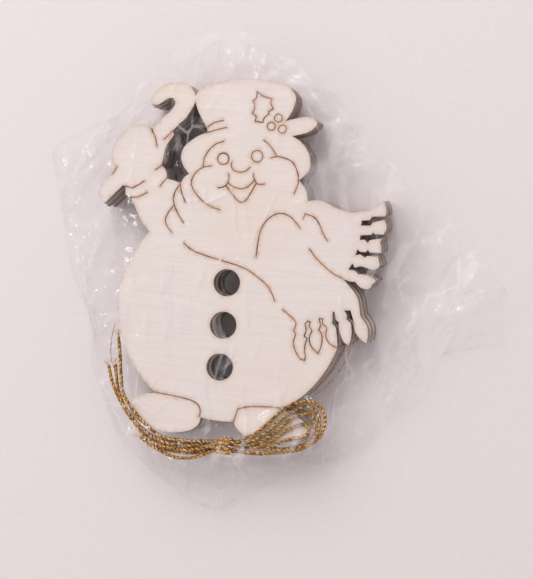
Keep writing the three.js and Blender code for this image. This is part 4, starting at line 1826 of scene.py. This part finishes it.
@dataclass
class FilmBag:
    """The clear film bag: two films welded together all round but at the mouth.

    Each film is draped by a cloth simulation. The front one starts on the part's own shell, is a few
    per cent larger than the space it is welded into, and crumples down on to the cords and the stack.

    Attributes:
        cell: The spacing of the film's vertices.
        thickness: The film's thickness in the model, far more than real film's 0.04 mm.
        slack: How much larger each film is than the space it is welded into, as a share of its width.
        enlarge: How many times full size the simulation works at, because cloth needs metres.
        steps: How many frames each simulation runs.
        clearance: The least height of the front film wherever a snowman passes on its way out.
        way_out: The direction in which the snowmen leave.
        skin: How far the simulation keeps a film off what it falls on.
        rim_height: How high the front film starts where the part's own film can't be found.
        highest: How high the front film may stand.
        least_gap: How far it keeps from what it lies on.
        seed: For the places of the films' vertices.
    """

    cell: float = 2.0
    thickness: float = 0.1
    slack: dict[Side, float] = field(default_factory=lambda: {Side.BACK: 0.03, Side.FRONT: 0.045})
    enlarge: float = 60.0
    steps: int = 46
    clearance: float = 14.75
    way_out: Point = (0.656, 0.755)
    skin: float = 0.15
    rim_height: float = 0.75
    highest: float = 18.8
    least_gap: float = 0.25
    seed: int = 21

    def sheet_mesh(self, frame: dict, side: Side) -> tuple[np.ndarray, list, np.ndarray]:
        """Lays a fine triangle mesh over one film.

        Args:
            side: Which film.

        Returns:
            The vertices, the faces, and which vertices are on the rim.
        """
        ring = rounded_loop(flat_loops(frame["nodes"][Side.BACK.value])[0], self.cell, corner=30.0)
        grid = staggered_grid(ring, self.cell, 0.35, self.seed)
        grid = grid[from_segments(grid, *ring_edges([ring])) > self.cell * 0.6]
        points = [Vector(p) for p in np.vstack([ring, grid])]
        flat, _, faces, _, _, _ = geometry.delaunay_2d_cdt(
            points, [], [list(range(len(ring)))], 0, 1e-4, False
        )
        flat = np.array(flat)
        inside = is_inside(flat[np.array(faces)].mean(1), ring)
        turned = [turned_up(flat, face) for face, kept in zip(faces, inside) if kept]
        rim = from_segments(flat, *ring_edges([ring])) < 0.05
        return np.column_stack([flat, self.start_heights(frame, side, flat)]), turned, rim

    def start_heights(self, frame: dict, side: Side, flat: np.ndarray) -> np.ndarray:
        """Reads how high the part's own film is over each point in the plane.

        Args:
            side: Which film.
            flat: The points in the plane.

        Returns:
            The height of the film's middle over each point.
        """
        half = 0.15  # of the thickness of the part's own film
        if side is Side.BACK:
            return np.full(len(flat), half)
        node = frame["nodes"][side.value]
        work = bmesh.new()
        work.from_mesh(node.data)
        tree = BVHTree.FromBMesh(work)
        centre = flat.mean(0)
        heights = []
        for x, y in flat:
            hit = None
            for pull in (0.0, 0.002, 0.006, 0.015):
                px, py = x + (centre[0] - x) * pull, y + (centre[1] - y) * pull
                hit = tree.ray_cast(Vector((px * MM, py * MM, 0.1)), Vector((0, 0, -1)))[0]
                if hit is not None:
                    break
            heights.append(hit.z / MM - half if hit is not None else self.rim_height)
        work.free()
        return np.array(heights)

    def ground_heights(self, frame: dict, cords: HangingCords, flat: np.ndarray) -> np.ndarray:
        """Says how high the contents and the snowmen's way out stand under each point.

        Args:
            cords: The cords, which lie on top.
            flat: The points in the plane.

        Returns:
            The least height of the front film over each point.
        """
        heights = np.full(len(flat), 0.55)
        ring = flat_loops(frame["nodes"]["snowman_4"])[0]
        way = np.array(self.way_out)
        across = np.array([way[1], -way[0]])
        ring_across, ring_along = ring @ across, ring @ way
        order = np.linspace(ring_across.min(), ring_across.max(), 160)
        lowest = np.full(len(order), 1e9)
        for a, b, c, d in zip(ring_across, np.roll(ring_across, -1), ring_along, np.roll(ring_along, -1)):
            span = (order >= min(a, b) - 0.3) & (order <= max(a, b) + 0.3)
            share = np.clip((order - a) / (b - a if abs(b - a) > 1e-6 else 1.0), 0, 1)
            lowest = np.where(span, np.minimum(lowest, c + share * (d - c)), lowest)
        here = flat @ across
        within = (here > order[0] - 0.6) & (here < order[-1] + 0.6)
        edge = np.interp(here, order, lowest)
        heights[within & (flat @ way > edge - 0.8)] = self.clearance - 0.3
        lines = [
            smooth_path([*reversed(a), *loop, *b], 1.0) for loop, (a, b) in zip(cords.loops, cords.ends)
        ]
        for point in np.vstack(lines):
            near = np.linalg.norm(flat - point[:2], axis=1) < 1.5
            heights[near] = np.maximum(heights[near], point[2] + cords.radius)
        x, y, z = cords.knot_centre
        over = (np.abs(flat[:, 0] - x) < 3.4) & (np.abs(flat[:, 1] - y) < 3.2)
        heights[over] = z + 2.6
        return heights

    def collider(self, frame: dict, cords: HangingCords, side: Side) -> bpy.types.Object:
        """Makes the ground that a film falls on, at the simulation's scale.

        Args:
            cords: The cords under the front film.
            side: Which film.

        Returns:
            The ground, which the caller removes.
        """
        step = 1.4 if side is Side.FRONT else 8.0
        low, high = -72, 88  # well past the bag on all sides
        xs, ys = np.arange(low, high, step), np.arange(low, high, step)
        gx, gy = np.meshgrid(xs, ys)
        flat = np.column_stack([gx.ravel(), gy.ravel()])
        heights = self.ground_heights(frame, cords, flat) if side is Side.FRONT else np.zeros(len(flat))
        wide = len(xs)
        faces = [
            (r * wide + c, r * wide + c + 1, (r + 1) * wide + c + 1, (r + 1) * wide + c)
            for r in range(len(ys) - 1)
            for c in range(wide - 1)
        ]
        ground = new_mesh("ground", np.column_stack([flat, heights]) * self.enlarge, faces, [])
        ground.modifiers.new("collision", "COLLISION")
        ground.collision.thickness_outer = self.skin * MM * self.enlarge
        ground.collision.thickness_inner = 1.5 * MM * self.enlarge
        ground.collision.cloth_friction = 20.0
        ground.collision.damping = 0.8
        return ground

    def make_cloth(self, cloth: bpy.types.Object, held: np.ndarray, side: Side) -> None:
        """Gives a mesh the stiffness, weight and slack of crumpled film.

        Args:
            cloth: The mesh that will fall.
            held: Which of its vertices stay where they are.
            side: Which film it is.
        """
        group = cloth.vertex_groups.new(name="held")
        group.add(np.flatnonzero(held).tolist(), 1.0, "REPLACE")
        modifier = cloth.modifiers.new("film", "CLOTH")
        film = modifier.settings
        film.quality = 6
        film.mass = 0.25
        film.air_damping = 2.0
        film.tension_stiffness = 40.0
        film.compression_stiffness = 40.0
        film.shear_stiffness = 30.0
        film.bending_stiffness = 1.2
        film.bending_damping = 2.0
        film.vertex_group_mass = group.name
        film.pin_stiffness = 50.0
        film.shrink_min = -self.slack[side]
        modifier.collision_settings.use_collision = True
        modifier.collision_settings.distance_min = self.skin * MM * self.enlarge
        modifier.collision_settings.collision_quality = 3
        modifier.point_cache.frame_start = 1
        modifier.point_cache.frame_end = self.steps + 1

    def drape(
        self,
        frame: dict,
        cords: HangingCords,
        side: Side,
        vertices: np.ndarray,
        faces: list,
        rim: np.ndarray,
    ) -> np.ndarray:
        """Lets one film crumple and fall.

        Args:
            cords: The cords under the front film.
            side: Which film.
            vertices: Where the film starts.
            faces: Its triangles.
            rim: Which vertices are on its rim.

        Returns:
            Where its vertices come to rest.
        """
        start = vertices.copy()
        for i, (x, y, _) in enumerate(vertices):
            low, fine = noise.noise(Vector((x / 11, y / 11, 3.0))), noise.noise(
                Vector((x / 4.2, y / 4.2, 9.0))
            )
            start[i, 2] += 0.0 if rim[i] else 0.5 * abs(low) + 0.25 * abs(fine)
        if side is Side.FRONT:
            held = rim & (vertices[:, 2] < 8.0)
        else:
            stack = flat_loops(frame["nodes"]["snowman_1"])[0]
            held = rim | is_inside(vertices[:, :2], stack)
        scene = bpy.context.scene
        ground = self.collider(frame, cords, side)
        cloth = new_mesh("falling_film", start * self.enlarge, faces, [])
        self.make_cloth(cloth, held, side)
        for step in range(1, self.steps + 1):
            scene.frame_set(step)
        result = cloth.evaluated_get(bpy.context.evaluated_depsgraph_get())
        rest = np.array([v.co for v in result.data.vertices], float) / (MM * self.enlarge)
        scene.frame_set(1)
        for obj in (cloth, ground):
            data = obj.data
            bpy.data.objects.remove(obj)
            bpy.data.meshes.remove(data)
        return rest

    def settle(
        self, frame: dict, cords: HangingCords, side: Side, rest: np.ndarray, rim: np.ndarray
    ) -> np.ndarray:
        """Keeps a draped film inside the bag's own space and clear of what moves in it.

        Args:
            cords: The cords under the front film.
            side: Which film.
            rest: Where the film's vertices came to rest.
            rim: Which of them are on its rim.

        Returns:
            Their last places.
        """
        low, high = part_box(side.value)
        low, high = np.array(low) / MM, np.array(high) / MM
        if side is Side.FRONT:
            least = self.ground_heights(frame, cords, rest[:, :2]) + self.least_gap
            rest[:, 2] = np.where(rim, rest[:, 2], np.maximum(rest[:, 2], least))
            rest[:, 2] = np.minimum(rest[:, 2], self.highest)
        else:
            rest[:, 2] = np.clip(rest[:, 2], 0.08, 3.5)
        rest[:, :2] = np.clip(rest[:, :2], low[:2] - 1.5, high[:2] + 1.5)
        return rest

    def build(
        self, frame: dict, cords: HangingCords, material: bpy.types.Material
    ) -> list[bpy.types.Object]:
        """Args:
            cords: The cords that the front film lies on.
            material: The clear film.

        Returns:
            The two films.
        """
        films = []
        for side in Side:
            vertices, faces, rim = self.sheet_mesh(frame, side)
            rest = self.settle(
                frame, cords, side, self.drape(frame, cords, side, vertices, faces, rim), rim
            )
            obj = new_mesh(f"clear_{side.value}", rest, faces, [material])
            rounded = obj.modifiers.new("rounded", "SUBSURF")
            rounded.levels = rounded.render_levels = 1
            wall = obj.modifiers.new("wall", "SOLIDIFY")
            wall.thickness = self.thickness * MM
            wall.offset = 0.0
            flatten_modifiers(obj)
            obj.data.shade_smooth()
            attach(obj, BAG)
            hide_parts(side.value)
            films.append(obj)
        return films


# ---- Floor and light --------------------------------------------------------------------------------


@dataclass
class Studio:
    """A plain paper floor under soft light, with small windows of light that the film mirrors."""

    floor_size: float = 3000.0
    floor_z: float = -0.05  # just under the back film
    world: str = "F5F0F1"
    world_strength: float = 0.68

    def build(self, material: bpy.types.Material) -> None:
        """Adds the floor, the lights and the world.

        Args:
            material: The floor's paper.
        """
        half = self.floor_size / 2
        corners = np.array(
            [(x * half, y * half, self.floor_z) for x, y in ((-1, -1), (1, -1), (1, 1), (-1, 1))]
        )
        floor = new_mesh("paper_floor", corners, [(0, 1, 2, 3)], [material])
        self.lamp("key_window", (-260.0, 580.0, 740.0), (900.0, 800.0), 4.0, "FFFAF8")
        self.lamp("glint_upper", (-60.0, 420.0, 640.0), (30.0, 80.0), 0.45, "FFFFFF")
        self.lamp("glint_left", (-420.0, 60.0, 560.0), (30.0, 80.0), 0.4, "FFFFFF")
        world = bpy.data.worlds.new("soft_room")
        bpy.context.scene.world = world
        bpy.context.scene.view_settings.view_transform = "Standard"
        # Sight and light each cross both films, inside and out, and more often where they are crumpled.
        bpy.context.scene.cycles.transparent_max_bounces = 32
        world.use_nodes = True
        backdrop = world.node_tree.nodes["Background"]
        backdrop.inputs["Color"].default_value = to_linear(self.world)
        backdrop.inputs["Strength"].default_value = self.world_strength

    def lamp(self, name: str, place: Point, size: Point, power: float, colour: str) -> bpy.types.Object:
        """Adds one area light that shines on the pack.

        Args:
            name: The light's name.
            place: Where it hangs.
            size: Its width and height.
            power: In watts.
            colour: Its sRGB hex colour.

        Returns:
            The light object.
        """
        data = bpy.data.lights.new(name, "AREA")
        data.shape = "RECTANGLE"
        data.size, data.size_y = size[0] * MM, size[1] * MM
        data.energy = power
        data.color = to_linear(colour)[:3]
        light = bpy.data.objects.new(name, data)
        bpy.context.scene.collection.objects.link(light)
        light.location = Vector(place) * MM
        light.rotation_euler = (Vector(place) * -1).to_track_quat("-Z", "Y").to_euler()
        return light


# ---- The whole pack ---------------------------------------------------------------------------------


def main() -> None:
    """Builds the pack in the part's frame."""
    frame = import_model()
    ViewCamera().build()
    gold = GoldThread().build()
    cords = HangingCords.as_tied()
    cords.build(gold)
    LooseTinsel().build(gold)
    Snowmen().build(frame, [RawPlywood().build(), CharredCut().build(), BurntLine().build()])
    LabelCard().build(CoatedCard().build())
    FilmBag().build(frame, cords, ClearFilm().build())
    Studio().build(PaperGround().build())


if __name__ == "__main__":
    logging.basicConfig(level=logging.INFO, format="%(message)s")
    main()
